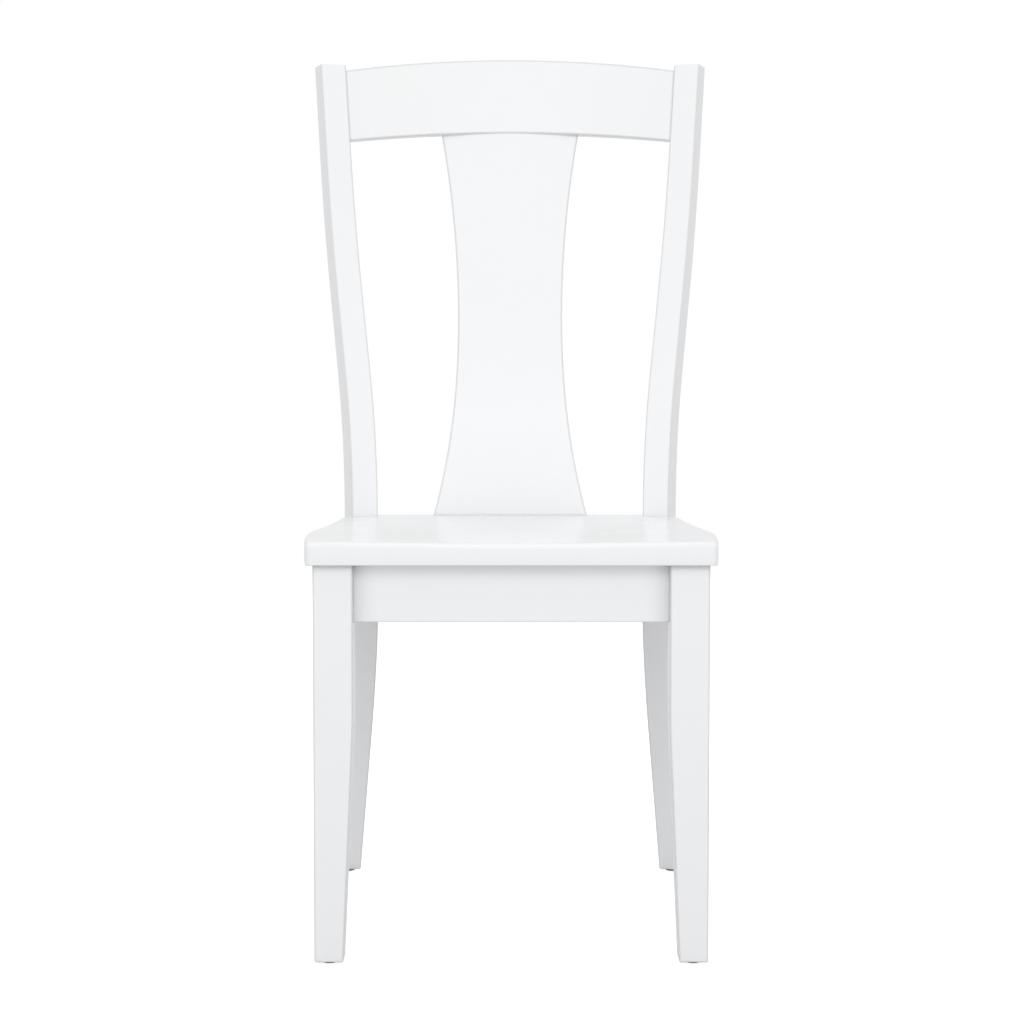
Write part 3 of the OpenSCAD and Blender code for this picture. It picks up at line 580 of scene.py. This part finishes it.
def board(start, end):
    """Straight board: each point of its outline runs in a line from its place in the start plane to its
    place in the end plane."""
    share = np.linspace(0, 1, BOARD_STEPS + 1)[:, None, None]
    return skin(start + (end - start) * share)


def apron_outline(y0):
    """End view of an apron, as places across and up: its lower edges are rounded, its upper ones nearly
    sharp."""
    radii = [[APRON_EDGE_R, APRON_EDGE_R, APRON_TOP_R, APRON_TOP_R]]
    return rounded_box(y0, y0 + apron_t, seat_under - apron_h, seat_under, radii)[0]


def front_apron():
    """Board between the front legs' inner faces."""
    y, z = apron_outline(apron_inset).T
    x = np.full_like(y, leg_in)
    return board(np.column_stack([-x, y, z]), np.column_stack([x, y, z]))


def rear_apron():
    """Board between the posts' inner faces, which slant outwards to the back."""
    y, z = apron_outline(POST_Y + REAR_APRON_INSET).T
    x = post_in[0] + (y - POST_Y) * np.tan(POST_TURN)
    return board(np.column_stack([-x, y, z]), np.column_stack([x, y, z]))


def side_apron():
    """Board from the back face of the front leg to the front face of the post, cut to both planes."""
    across, z = apron_outline(-apron_t / 2).T
    line = side_start + np.array([side_way[1], -side_way[0]]) * across[:, None]
    start = line + side_way * ((leg_w - line[:, 1]) / side_way[1])[:, None]
    end = line + side_way * (((post_in - line) @ turn_back) / (side_way @ turn_back))[:, None]
    return board(np.column_stack([end, z]), np.column_stack([start, z]))


def laid(shell, place, azimuth):
    """A solid drawn along +z, turned to point level at that azimuth, with its origin moved to the
    place: local z goes along (cos, sin, 0), local y along (-sin, cos, 0) and local x straight down."""
    points, faces = shell
    c, s = np.cos(np.radians(azimuth)), np.sin(np.radians(azimuth))
    return points @ np.array([[0, 0, -1], [-s, c, 0], [c, s, 0]]) + place, faces


def angles(count):
    """That many angles, spaced evenly round a circle."""
    return np.linspace(0, 2 * np.pi, count + 1)[:-1]


def turned(radius, angle, z):
    """Points at a radius and an angle round the z axis, and at a height."""
    return np.stack([radius * np.cos(angle), radius * np.sin(angle), z], axis=-1)


def thread_radius(angle, z, core, crest, pitch, root, tip):
    """Radius of a screw thread. It climbs one pitch a turn, so the place in the pitch is z over the
    pitch less the turn. Straight flanks lead from a flat root at the core to a flat tip at the crest,
    both shares of the pitch."""
    share = (z / pitch - angle / (2 * np.pi)) % 1
    height = 1 - np.abs(2 * share - 1)
    return core + (crest - core) * np.clip((height - root) / (1 - root - tip), 0, 1)


def hanger_bolt(length):
    """Bolt with a machine thread from its middle to its blunt end at z = length, a plain neck, and a
    wood thread that runs down to a point at z = -BOLT_DEPTH. Its radius is the thread's, held down by a
    cone at each end."""
    lower = np.arange(-BOLT_DEPTH, 0, LAG_PITCH / LAG_RINGS)
    upper = np.arange(0, length, BOLT_PITCH / BOLT_RINGS)
    angle, z = np.meshgrid(angles(BOLT_AROUND), np.concatenate([lower, upper, [length]]))
    r = BOLT_D / 2
    machine = thread_radius(angle, z, r - BOLT_THREAD_SHARE * BOLT_PITCH, r, BOLT_PITCH, *BOLT_THREAD)
    lag = thread_radius(angle, z, LAG_CORE, r, LAG_PITCH, *LAG_THREAD)
    radius = np.where(z > NECK_HALF, machine, np.where(z > -NECK_HALF, r - NECK_DEPTH, lag))
    blunt = r - BOLT_CHAMFER + (length - z)
    point = LAG_TIP_R + LAG_TIP_SLOPE * (z + BOLT_DEPTH)
    return skin(turned(np.minimum(radius, np.minimum(blunt, point)), angle, z))


def hex_nut():
    """Six-sided nut round the z axis from z = 0. For each angle a closed profile runs down the threaded
    bore and up the flat, whose distance is the apothem over the cosine of the angle from the flat's
    middle, held in at both ends by a cone."""
    r, apothem = BOLT_D / 2, NUT_FLATS / 2
    around = angles(NUT_AROUND)
    flat = apothem / np.cos(around % (np.pi / 3) - np.pi / 6)
    bore_z = np.linspace(NUT_H, 0, BORE_RINGS)
    angle, z = np.meshgrid(around, np.concatenate([bore_z, NUT_RIM_H, NUT_H - NUT_RIM_H[::-1]]))
    end = np.minimum(z, NUT_H - z)
    inner, outer = NUT_THREAD_GAP
    bore = np.maximum(
        thread_radius(angle, z, r + inner, r + outer, BOLT_PITCH, *NUT_THREAD),
        r + NUT_MOUTH - end,
    )
    rim = np.minimum(flat, apothem * NUT_END_SHARE + end / np.tan(NUT_CONE))
    points = turned(np.where(np.arange(len(z))[:, None] < BORE_RINGS, bore, rim), angle, z)
    loops = len(points)
    i, k = np.arange(NUT_AROUND), np.arange(loops)[:, None]
    j, n = (i + 1) % NUT_AROUND, (k + 1) % loops
    row, following = k * NUT_AROUND, n * NUT_AROUND
    corners = np.broadcast_arrays(row + i, row + j, following + j, following + i)
    return points.reshape(-1, 3), np.stack(corners, axis=-1).reshape(-1, 4).tolist()


def wood_screw(length):
    """Countersunk screw that points along +z from the top of its head at z = 0. Rings run outwards over
    the head, in which a cross is sunk, then down its cone and the thread to the tip. The cross is the
    deeper of two bars, each a smooth step across its width, and it rises to nothing at its ends."""
    head, shank = SCREW_HEAD_D / 2, SCREW_D / 2
    cone = head - shank
    disc = np.linspace(HEAD_MIDDLE_R, head - SCREW_CHAMFER, HEAD_RINGS)
    run = np.arange(cone + SCREW_RUN_H, length - SCREW_TIP_R, SCREW_PITCH / SCREW_RINGS)
    ring_r = np.concatenate([disc, [head, head, shank], np.full(len(run), shank), [SCREW_TIP_R]])
    ring_z = np.concatenate([0 * disc, [SCREW_EDGE_H, SCREW_LAND_H, cone + SCREW_LAND_H], run, [length]])
    angle, radius = np.meshgrid(angles(SCREW_AROUND), ring_r)
    z = np.broadcast_to(ring_z[:, None], angle.shape).copy()
    bars = [
        1 - ease((np.abs(across) - RECESS_W + RECESS_SOFT / 2) / RECESS_SOFT)
        for across in (radius * np.cos(angle), radius * np.sin(angle))
    ]
    sunk = RECESS_DEPTH * np.maximum(*bars) * np.clip(1 - radius / RECESS_R, 0, 1) ** RECESS_POWER
    z += np.where(np.arange(len(z))[:, None] < HEAD_RINGS, sunk, 0)
    threaded = thread_radius(angle, z, SCREW_CORE, shank, SCREW_PITCH, *SCREW_THREAD)
    threaded = np.minimum(threaded, SCREW_TIP_R + SCREW_TIP_SLOPE * (length - z))
    radius = np.where(z > length * SCREW_PLAIN_SHARE, np.minimum(radius, threaded), radius)
    return skin(turned(radius, angle, z))


def meet(p, a, q, b):
    """Crossing of the line through p along a with the line through q along b."""
    return p + a * ((q[0] - p[0]) * b[1] - (q[1] - p[1]) * b[0]) / (a[0] * b[1] - a[1] * b[0])


def block_screws():
    """The right side's screws from its two corner blocks into the aprons. A block's ends lie where
    lines square to the corner's diagonal meet the two aprons, and a screw sits in the middle of
    each."""
    side_face = side_start + np.array([-side_way[1], side_way[0]]) * apron_t / 2
    side_azimuth = np.degrees(np.arctan2(side_way[1], side_way[0])) - 90
    level = np.array([1.0, 0.0])
    back = BLOCK_SCREW_DEPTH - BLOCK_SCREW_L
    screws = []
    for corner, into, apron_y, azimuth in (
        (front_corner, front_into, apron_inset + apron_t, -90),
        (post_in, rear_into, POST_Y + REAR_APRON_INSET, 90),
    ):
        along = np.array([-into[1], into[0]])
        near = corner + into * BLOCK_GAP
        away = corner + into * (BLOCK_GAP + BLOCK_T)
        for face, way, turn in (
            (np.array([0.0, apron_y]), level, azimuth),
            (side_face, side_way, side_azimuth),
        ):
            spot = (meet(near, along, face, way) + meet(away, along, face, way)) / 2
            aim = np.array([np.cos(np.radians(turn)), np.sin(np.radians(turn))])
            screws.append(laid(wood_screw(BLOCK_SCREW_L), [*(spot + aim * back), block_mid], turn))
    return screws


def seat_screws():
    """The right side's screws up through its two corner blocks into the seat, one in the middle of the
    rear block and one beside the bolt in the front block."""
    middle = BLOCK_GAP + BLOCK_T / 2
    aside = np.array([1, 1]) / np.sqrt(2) * SEAT_SCREW_ASIDE
    foot = seat_under + SEAT_SCREW_DEPTH - SEAT_SCREW_L
    points, faces = wood_screw(SEAT_SCREW_L)
    places = (front_corner + front_into * middle + aside, post_in + rear_into * middle)
    return [(points + [*place, foot], faces) for place in places]


def bolt_and_nut():
    """The right front leg's hanger bolt and its nut, along the corner's diagonal."""
    washer_face = BLOCK_GAP + BLOCK_T + WASHER_T
    nut_place = front_corner + front_into * washer_face
    bolt = laid(hanger_bolt(washer_face + NUT_H + BOLT_TAIL), [*front_corner, block_mid], BOLT_AZIMUTH)
    return bolt, laid(hex_nut(), [*nut_place, block_mid], BOLT_AZIMUTH)


def linear(hex_colour):
    """sRGB hex digits as linear colour: each channel c becomes ((c + 0.055) / 1.055) to the power 2.4,
    or c / 12.92 where it is dark."""
    c = np.array([int(hex_colour[i:i + 2], 16) for i in (1, 3, 5)]) / 255
    return (*np.where(c < 0.04045, c / 12.92, ((c + 0.055) / 1.055) ** 2.4).tolist(), 1)


# A Mix node's inputs for its two colours, and its colour output
COLOUR_A, COLOUR_B, MIXED = 6, 7, 2


def add(tree, kind, sockets=(), **settings):
    """Adds a node of that kind, sets its properties, and gives its input sockets a value or a link. A
    socket goes by its name, or by its number where names repeat."""
    made = tree.nodes.new(kind)
    for key, value in settings.items():
        setattr(made, key, value)
    for key, value in dict(sockets).items():
        if isinstance(value, bpy.types.NodeSocket):
            tree.links.new(value, made.inputs[key])
        else:
            made.inputs[key].default_value = value
    return made


def new_material(name):
    """An empty material and its node tree."""
    material = bpy.data.materials.new(name)
    material.use_nodes = True
    material.node_tree.nodes.clear()
    return material, material.node_tree


# Satin white lacquer: grain ridges 2.5 mm apart and 90 mm long, orange peel 4 mm wide, which is coarser
# than the real one so that it shows, white that drifts over 120 mm, and a greyer white painted along
# crisp edges: mostly painted shade where the roundings turn from the light, partly thinner film
LACQUER_COOL = "#EFF1F4"
LACQUER_WARM = "#F2F2F2"
LACQUER_EDGE_SHADE = "#DFDFE0"
LACQUER_ROUGH = 0.2
LACQUER_ROUGH_DRIFT = 0.02
DRIFT_SPACING = 120
DRIFT_LOW, DRIFT_HIGH = 0.3, 0.7
PEEL_SPACING = 4
PEEL_HEIGHT = 0.008
GRAIN_HEIGHT = 0.006
FINE, LONG = 2.5, 90


def white_lacquer(name, grain):
    """Satin white lacquer sprayed on sanded hardwood, as kitchen chairs have. The film is nearly
    smooth: a soft orange peel and the faint ridges of the wood's grain bend the reflections, and the
    white drifts a little. A fine greyer line is painted along crisp edges: mostly painted shade where
    the roundings turn from the light, partly the thinner film that lacquer leaves there. grain is the
    spacing of those ridges along x, y and z."""
    material, tree = new_material(name)
    place = add(tree, "ShaderNodeTexCoord").outputs["Object"]
    stretch = add(tree, "ShaderNodeMapping", {"Vector": place, "Scale": [1 / (s * MM) for s in grain]})
    fibres = add(tree, "ShaderNodeTexNoise", {"Vector": stretch.outputs[0], "Scale": 1.0, "Detail": 3.0})
    peel = add(tree, "ShaderNodeTexNoise", {
        "Vector": place, "Scale": 1 / (PEEL_SPACING * MM), "Detail": 1.0
    })
    drift = add(tree, "ShaderNodeTexNoise", {
        "Vector": place, "Scale": 1 / (DRIFT_SPACING * MM), "Detail": 2.0
    })
    tint = add(tree, "ShaderNodeMix", {
        "Factor": drift.outputs[0], COLOUR_A: linear(LACQUER_COOL), COLOUR_B: linear(LACQUER_WARM)
    }, data_type="RGBA")
    # Painted shade: a greyer line along crisp edges where the roundings turn from the light, partly also
    # thinner film
    edge_shade = add(tree, "ShaderNodeAttribute", attribute_name="painted_edge_shade").outputs["Fac"]
    edge_shaded = add(tree, "ShaderNodeMix", {
        "Factor": edge_shade, COLOUR_A: tint.outputs[MIXED], COLOUR_B: linear(LACQUER_EDGE_SHADE)
    }, data_type="RGBA")
    sheen = add(tree, "ShaderNodeMapRange", {
        "Value": drift.outputs[0], "From Min": DRIFT_LOW, "From Max": DRIFT_HIGH,
        "To Min": LACQUER_ROUGH - LACQUER_ROUGH_DRIFT, "To Max": LACQUER_ROUGH + LACQUER_ROUGH_DRIFT
    })
    ridges = add(tree, "ShaderNodeBump", {
        "Height": fibres.outputs[0], "Strength": 1.0, "Distance": GRAIN_HEIGHT * MM
    })
    film = add(tree, "ShaderNodeBump", {
        "Height": peel.outputs[0], "Strength": 1.0, "Distance": PEEL_HEIGHT * MM,
        "Normal": ridges.outputs[0]
    })
    shader = add(tree, "ShaderNodeBsdfPrincipled", {
        "Base Color": edge_shaded.outputs[MIXED], "Roughness": sheen.outputs[0], "IOR": 1.5,
        "Normal": film.outputs[0]
    })
    add(tree, "ShaderNodeOutputMaterial", {"Surface": shader.outputs[0]})
    return material


# Bare beech: growth rings 3 mm apart, drawn out 60 mm along the grain, and flecks a fifth of that size
BEECH_PALE = "#D9B78F"
BEECH_DARK = "#B98D62"
BEECH_FLECK = "#8E6238"
BEECH_ROUGH_DARK, BEECH_ROUGH_PALE = 0.7, 0.55
BEECH_RELIEF = 0.04
BEECH_WAVER = 0.6
RING_GAP, RING_LONG = 3, 60
FLECK_FINER = 5.0
FLECK_START, FLECK_FULL = 0.62, 0.72
FLECK_DEPTH = 0.55


def bare_beech(name, grain, turn=0):
    """Planed, unfinished beech: pinkish tan, with growth rings a few millimetres apart along the grain,
    and the short dark ray flecks that beech has. Unsealed wood scatters light, so it is nearly matt.
    grain is the spacing of the rings along x, y and z, and turn swings that about z in degrees."""
    material, tree = new_material(name)
    place = add(tree, "ShaderNodeTexCoord").outputs["Object"]
    swung = add(tree, "ShaderNodeMapping", {"Vector": place, "Rotation": (0, 0, np.radians(turn))})
    stretch = add(tree, "ShaderNodeMapping", {
        "Vector": swung.outputs[0], "Scale": [1 / (s * MM) for s in grain]
    })
    rings = add(tree, "ShaderNodeTexNoise", {
        "Vector": stretch.outputs[0], "Scale": 1.0, "Detail": 4.0, "Distortion": BEECH_WAVER
    })
    flecks = add(tree, "ShaderNodeTexNoise", {
        "Vector": stretch.outputs[0], "Scale": FLECK_FINER, "Detail": 1.0
    })
    wood = add(tree, "ShaderNodeMix", {
        "Factor": rings.outputs[0], COLOUR_A: linear(BEECH_DARK), COLOUR_B: linear(BEECH_PALE)
    }, data_type="RGBA")
    dots = add(tree, "ShaderNodeMapRange", {
        "Value": flecks.outputs[0], "From Min": FLECK_START, "From Max": FLECK_FULL,
        "To Min": 0.0, "To Max": FLECK_DEPTH
    })
    colour = add(tree, "ShaderNodeMix", {
        "Factor": dots.outputs[0], COLOUR_A: wood.outputs[MIXED], COLOUR_B: linear(BEECH_FLECK)
    }, data_type="RGBA")
    rough = add(tree, "ShaderNodeMapRange", {
        "Value": rings.outputs[0], "To Min": BEECH_ROUGH_DARK, "To Max": BEECH_ROUGH_PALE
    })
    plane_marks = add(tree, "ShaderNodeBump", {
        "Height": rings.outputs[0], "Strength": 1.0, "Distance": BEECH_RELIEF * MM
    })
    shader = add(tree, "ShaderNodeBsdfPrincipled", {
        "Base Color": colour.outputs[MIXED], "Roughness": rough.outputs[0], "IOR": 1.5,
        "Normal": plane_marks.outputs[0]
    })
    add(tree, "ShaderNodeOutputMaterial", {"Surface": shader.outputs[0]})
    return material


# Zinc plate: crystals 0.6 mm across, coarser than the real ones so that they show, in clouds of 3 mm
ZINC_BRIGHT = "#D5D8DA"
ZINC_DULL = "#A9ADAE"
ZINC_ROUGH_CORE, ZINC_ROUGH_EDGE = 0.24, 0.42
ZINC_CRYSTAL = 0.6
ZINC_CRYSTAL_REACH = 0.8
ZINC_CLOUD = 3
ZINC_RELIEF = 0.02


def zinc_steel():
    """Bright zinc plate on tumbled steel hardware: a pale, faintly blue metal whose crystals and fine
    handling scratches break up the reflections."""
    material, tree = new_material("zinc_plated_steel")
    place = add(tree, "ShaderNodeTexCoord").outputs["Object"]
    crystals = add(tree, "ShaderNodeTexVoronoi", {
        "Vector": place, "Scale": 1 / (ZINC_CRYSTAL * MM)
    }, distance="EUCLIDEAN")
    cloud = add(tree, "ShaderNodeTexNoise", {
        "Vector": place, "Scale": 1 / (ZINC_CLOUD * MM), "Detail": 4.0
    })
    colour = add(tree, "ShaderNodeMix", {
        "Factor": cloud.outputs[0], COLOUR_A: linear(ZINC_DULL), COLOUR_B: linear(ZINC_BRIGHT)
    }, data_type="RGBA")
    rough = add(tree, "ShaderNodeMapRange", {
        "Value": crystals.outputs["Distance"], "From Max": ZINC_CRYSTAL_REACH,
        "To Min": ZINC_ROUGH_CORE, "To Max": ZINC_ROUGH_EDGE
    })
    tumbled = add(tree, "ShaderNodeBump", {
        "Height": cloud.outputs[0], "Strength": 1.0, "Distance": ZINC_RELIEF * MM
    })
    shader = add(tree, "ShaderNodeBsdfPrincipled", {
        "Base Color": colour.outputs[MIXED], "Metallic": 1.0, "Roughness": rough.outputs[0],
        "Normal": tumbled.outputs[0]
    })
    add(tree, "ShaderNodeOutputMaterial", {"Surface": shader.outputs[0]})
    return material


# Nylon: mould texture 0.25 mm wide, and scuffs 1.5 mm apart in the lowest two millimetres
NYLON_DARK = "#1F1D1C"
NYLON_SCUFFED = "#55524F"
NYLON_ROUGH, NYLON_ROUGH_SCUFFED = 0.42, 0.65
MOULD_GRAIN = 0.25
MOULD_RELIEF = 0.01
SCUFF_SPACING = 1.5
SCUFF_REACH = 2
SCUFF_DEPTH = 0.5


def glide_nylon():
    """Moulded dark nylon: a fine spark-eroded mould texture, greyer where the floor has scuffed it."""
    material, tree = new_material("moulded_nylon")
    place = add(tree, "ShaderNodeTexCoord").outputs["Object"]
    texture = add(tree, "ShaderNodeTexNoise", {
        "Vector": place, "Scale": 1 / (MOULD_GRAIN * MM), "Detail": 2.0
    })
    scuffs = add(tree, "ShaderNodeTexNoise", {
        "Vector": place, "Scale": 1 / (SCUFF_SPACING * MM), "Detail": 5.0
    })
    low = add(tree, "ShaderNodeSeparateXYZ", {"Vector": place})
    worn = add(tree, "ShaderNodeMapRange", {
        "Value": low.outputs["Z"], "From Min": 0.0, "From Max": SCUFF_REACH * MM,
        "To Min": SCUFF_DEPTH, "To Max": 0.0
    })
    share = add(tree, "ShaderNodeMath", {0: worn.outputs[0], 1: scuffs.outputs[0]}, operation="MULTIPLY")
    colour = add(tree, "ShaderNodeMix", {
        "Factor": share.outputs[0], COLOUR_A: linear(NYLON_DARK), COLOUR_B: linear(NYLON_SCUFFED)
    }, data_type="RGBA")
    rough = add(tree, "ShaderNodeMapRange", {
        "Value": share.outputs[0], "To Min": NYLON_ROUGH, "To Max": NYLON_ROUGH_SCUFFED
    })
    eroded = add(tree, "ShaderNodeBump", {
        "Height": texture.outputs[0], "Strength": 1.0, "Distance": MOULD_RELIEF * MM
    })
    shader = add(tree, "ShaderNodeBsdfPrincipled", {
        "Base Color": colour.outputs[MIXED], "Roughness": rough.outputs[0], "IOR": 1.53,
        "Normal": eroded.outputs[0]
    })
    add(tree, "ShaderNodeOutputMaterial", {"Surface": shader.outputs[0]})
    return material


upright_lacquer = white_lacquer("satin_lacquer_upright", (FINE, FINE, LONG))
across_lacquer = white_lacquer("satin_lacquer_across", (LONG, FINE, FINE))
fore_lacquer = white_lacquer("satin_lacquer_fore", (FINE, LONG, FINE))

# A block's grain runs along its length, which lies at 45 degrees, and a dowel's along the dowel
DIAGONAL = 45
zinc = zinc_steel()
nylon = glide_nylon()
beech_right = bare_beech("planed_beech_right", (RING_LONG, RING_GAP, RING_GAP), -DIAGONAL)
beech_left = bare_beech("planed_beech_left", (RING_LONG, RING_GAP, RING_GAP), DIAGONAL)
beech_across = bare_beech("turned_beech_across", (RING_LONG, RING_GAP, RING_GAP))
beech_fore = bare_beech("turned_beech_fore", (RING_GAP, RING_LONG, RING_GAP))

PIECES = [
    ("seat_board", seat(), fore_lacquer, "seat"),
    ("leg_right", front_leg(), upright_lacquer, "front_leg_right"),
    ("leg_left", mirrored(front_leg()), upright_lacquer, "front_leg_left"),
    ("post_right", rear_post(), upright_lacquer, "rear_post_right"),
    ("post_left", mirrored(rear_post()), upright_lacquer, "rear_post_left"),
    ("rail_bowed", crest_rail(), across_lacquer, "crest_rail"),
    ("splat_board", back_splat(), upright_lacquer, "back_splat"),
    ("apron_front", front_apron(), across_lacquer, "front_apron"),
    ("apron_rear", rear_apron(), across_lacquer, "rear_apron"),
    ("apron_right", side_apron(), fore_lacquer, "side_apron_right"),
    ("apron_left", mirrored(side_apron()), fore_lacquer, "side_apron_left"),
]
for name, shell, material, node in PIECES:
    piece = add_piece(name, shell, material, node)
    # The seat's broad roundovers get no painted edge shade, which would dim the highlight along its
    # front edge; the other pieces' crisper edges get it
    if node != "seat":
        foot = node.startswith(("front_leg", "rear_post"))
        edge_shade = piece.data.attributes.new("painted_edge_shade", "FLOAT", "POINT")
        edge_shade.data.foreach_set("value", edge_shade_share(len(piece.data.vertices), foot))

bolt, nut = bolt_and_nut()
FASTENERS = [
    ("bolts_threaded", [bolt], "hanger_bolts"),
    ("nuts_chamfered", [nut], "bolt_nuts"),
    ("screws_in_blocks", block_screws(), "corner_block_screws"),
    ("screws_in_seat", seat_screws(), "seat_screws"),
]
for name, shells, node in FASTENERS:
    add_piece(name, both_sides(shells), zinc, node)

# Nodes of the frame whose shape is right as it is
DRESSED = {
    "front_corner_block_right": beech_right,
    "rear_corner_block_left": beech_right,
    "front_corner_block_left": beech_left,
    "rear_corner_block_right": beech_left,
    "front_apron_dowels": beech_across,
    "rear_apron_dowels": beech_across,
    "crest_rail_dowels": beech_across,
    "side_apron_dowels": beech_fore,
    "bolt_washers": zinc,
    "glide_nails": zinc,
    "front_glide_left": nylon,
    "front_glide_right": nylon,
    "rear_glide_left": nylon,
    "rear_glide_right": nylon,
}
for node, material in DRESSED.items():
    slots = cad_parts[node].data.materials
    slots.clear()
    slots.append(material)

# Studio: the world's strength as light on the chair, and how white the studio is in reflections. As
# light on the chair the floor is a plain pale grey; the camera sees it glow, with a greyer part added
# that takes the shadow.
WORLD_FILL = 0.72
GLOSSY_SHARE = 0.2
FLOOR_PALE = "#CBCBCB"
FLOOR_GLOW = 0.88
FLOOR_SHADE = 0.28
FLOOR_SIZE = 8000


def white_share(tree):
    """How far a ray sees the white studio: fully from the camera and through glass, partly in
    reflections, so that white paint shows up in them as brighter than what surrounds it, and not at all
    as light on the chair."""
    rays = add(tree, "ShaderNodeLightPath").outputs
    seen = add(tree, "ShaderNodeMath", {
        0: rays["Is Camera Ray"], 1: rays["Is Transmission Ray"]
    }, operation="MAXIMUM")
    part = add(tree, "ShaderNodeMath", {0: rays["Is Glossy Ray"], 1: GLOSSY_SHARE}, operation="MULTIPLY")
    either = add(tree, "ShaderNodeMath", {0: seen.outputs[0], 1: part.outputs[0]}, operation="MAXIMUM")
    return either.outputs[0]


def paint_world():
    """Even white surroundings, dimmer as light on the chair."""
    world = bpy.data.worlds.new("studio")
    bpy.context.scene.world = world
    world.use_nodes = True
    tree = world.node_tree
    tree.nodes.clear()
    strength = add(tree, "ShaderNodeMapRange", {
        "Value": white_share(tree), "To Min": WORLD_FILL, "To Max": 1.0
    })
    shader = add(tree, "ShaderNodeBackground", {"Color": (1, 1, 1, 1), "Strength": strength.outputs[0]})
    add(tree, "ShaderNodeOutputWorld", {"Surface": shader.outputs[0]})


def lay_floor():
    """Pale floor that the camera sees as white, with the chair's soft shadow on it."""
    half = FLOOR_SIZE * MM / 2
    corners = [(-half, -half, 0), (half, -half, 0), (half, half, 0), (-half, half, 0)]
    mesh = bpy.data.meshes.new("floor")
    mesh.from_pydata(corners, [], [(0, 1, 2, 3)])
    floor = bpy.data.objects.new("floor", mesh)
    bpy.context.scene.collection.objects.link(floor)
    material, tree = new_material("pale_floor")
    plain = add(tree, "ShaderNodeBsdfDiffuse", {"Color": linear(FLOOR_PALE)})
    shade = add(tree, "ShaderNodeBsdfDiffuse", {"Color": (FLOOR_SHADE, FLOOR_SHADE, FLOOR_SHADE, 1)})
    glow = add(tree, "ShaderNodeEmission", {"Color": (1, 1, 1, 1), "Strength": FLOOR_GLOW})
    both = add(tree, "ShaderNodeAddShader", {0: shade.outputs[0], 1: glow.outputs[0]})
    mixed = add(tree, "ShaderNodeMixShader", {
        0: white_share(tree), 1: plain.outputs[0], 2: both.outputs[0]
    })
    add(tree, "ShaderNodeOutputMaterial", {"Surface": mixed.outputs[0]})
    mesh.materials.append(material)


# Soft boxes: name, place and aim in metres, side in metres, power in watts, and if reflections show it
LAMPS = [
    ("key_box", (0, -4.2, 3.6), (0, 0, 0.6), 2.2, 44, False),
    ("wide_box", (0, -5.0, 2.0), (0, 0, 0.6), 4.0, 52, False),
    ("back_box", (0, 3.0, 2.6), (0, 0, 0.8), 2.5, 46, False),
    ("rim_box_right", (3.2, 2.4, 1.2), (0, 0, 0.4), 2.0, 12, False),
    ("rim_box_left", (-3.2, 2.4, 1.2), (0, 0, 0.4), 2.0, 12, False),
    ("edge_box", (0, -1.2, 3.4), (0, 0, 0.5), 0.8, 3.6, True),
]


def add_light(name, place, aim, size, power, shines):
    """Square soft box at a place, turned to face its aim. Cameras don't see it, and reflections only if
    it shines."""
    lamp = bpy.data.lights.new(name, "AREA")
    lamp.shape = "SQUARE"
    lamp.size = size
    lamp.energy = power
    lamp_object = bpy.data.objects.new(name, lamp)
    way = np.array(aim) - np.array(place)
    tilt = np.arctan2(np.hypot(way[0], way[1]), -way[2])
    lamp_object.location = place
    lamp_object.rotation_euler = (tilt, 0, np.arctan2(way[1], way[0]) - np.pi / 2)
    lamp_object.visible_camera = False
    lamp_object.visible_glossy = shines
    bpy.context.scene.collection.objects.link(lamp_object)


paint_world()
lay_floor()
for lamp in LAMPS:
    add_light(*lamp)

# Camera at the photograph's place: in front of the chair, a little above its seat, tipped down. Its
# axis meets the picture at a pixel counted from the upper left corner.
CAMERA_BACK = 2340
CAMERA_H = 646
CAMERA_X = -8.6
CAMERA_PITCH = 3.45
FOCAL_PIXELS = 2212
PHOTO_PIXELS = 1024
AXIS_X, AXIS_Y = 503.3, 496.0
SENSOR = 36

lens = bpy.data.cameras.new("camera")
lens.sensor_width = SENSOR
lens.lens = FOCAL_PIXELS / PHOTO_PIXELS * SENSOR
lens.shift_x = 0.5 - AXIS_X / PHOTO_PIXELS
lens.shift_y = AXIS_Y / PHOTO_PIXELS - 0.5
camera = bpy.data.objects.new("camera", lens)
camera.location = np.array([CAMERA_X, front_y - CAMERA_BACK, CAMERA_H]) * MM
camera.rotation_euler = np.radians([90 - CAMERA_PITCH, 0, 0])
bpy.context.scene.collection.objects.link(camera)
bpy.context.scene.camera = camera
bpy.context.scene.view_settings.view_transform = "Standard"
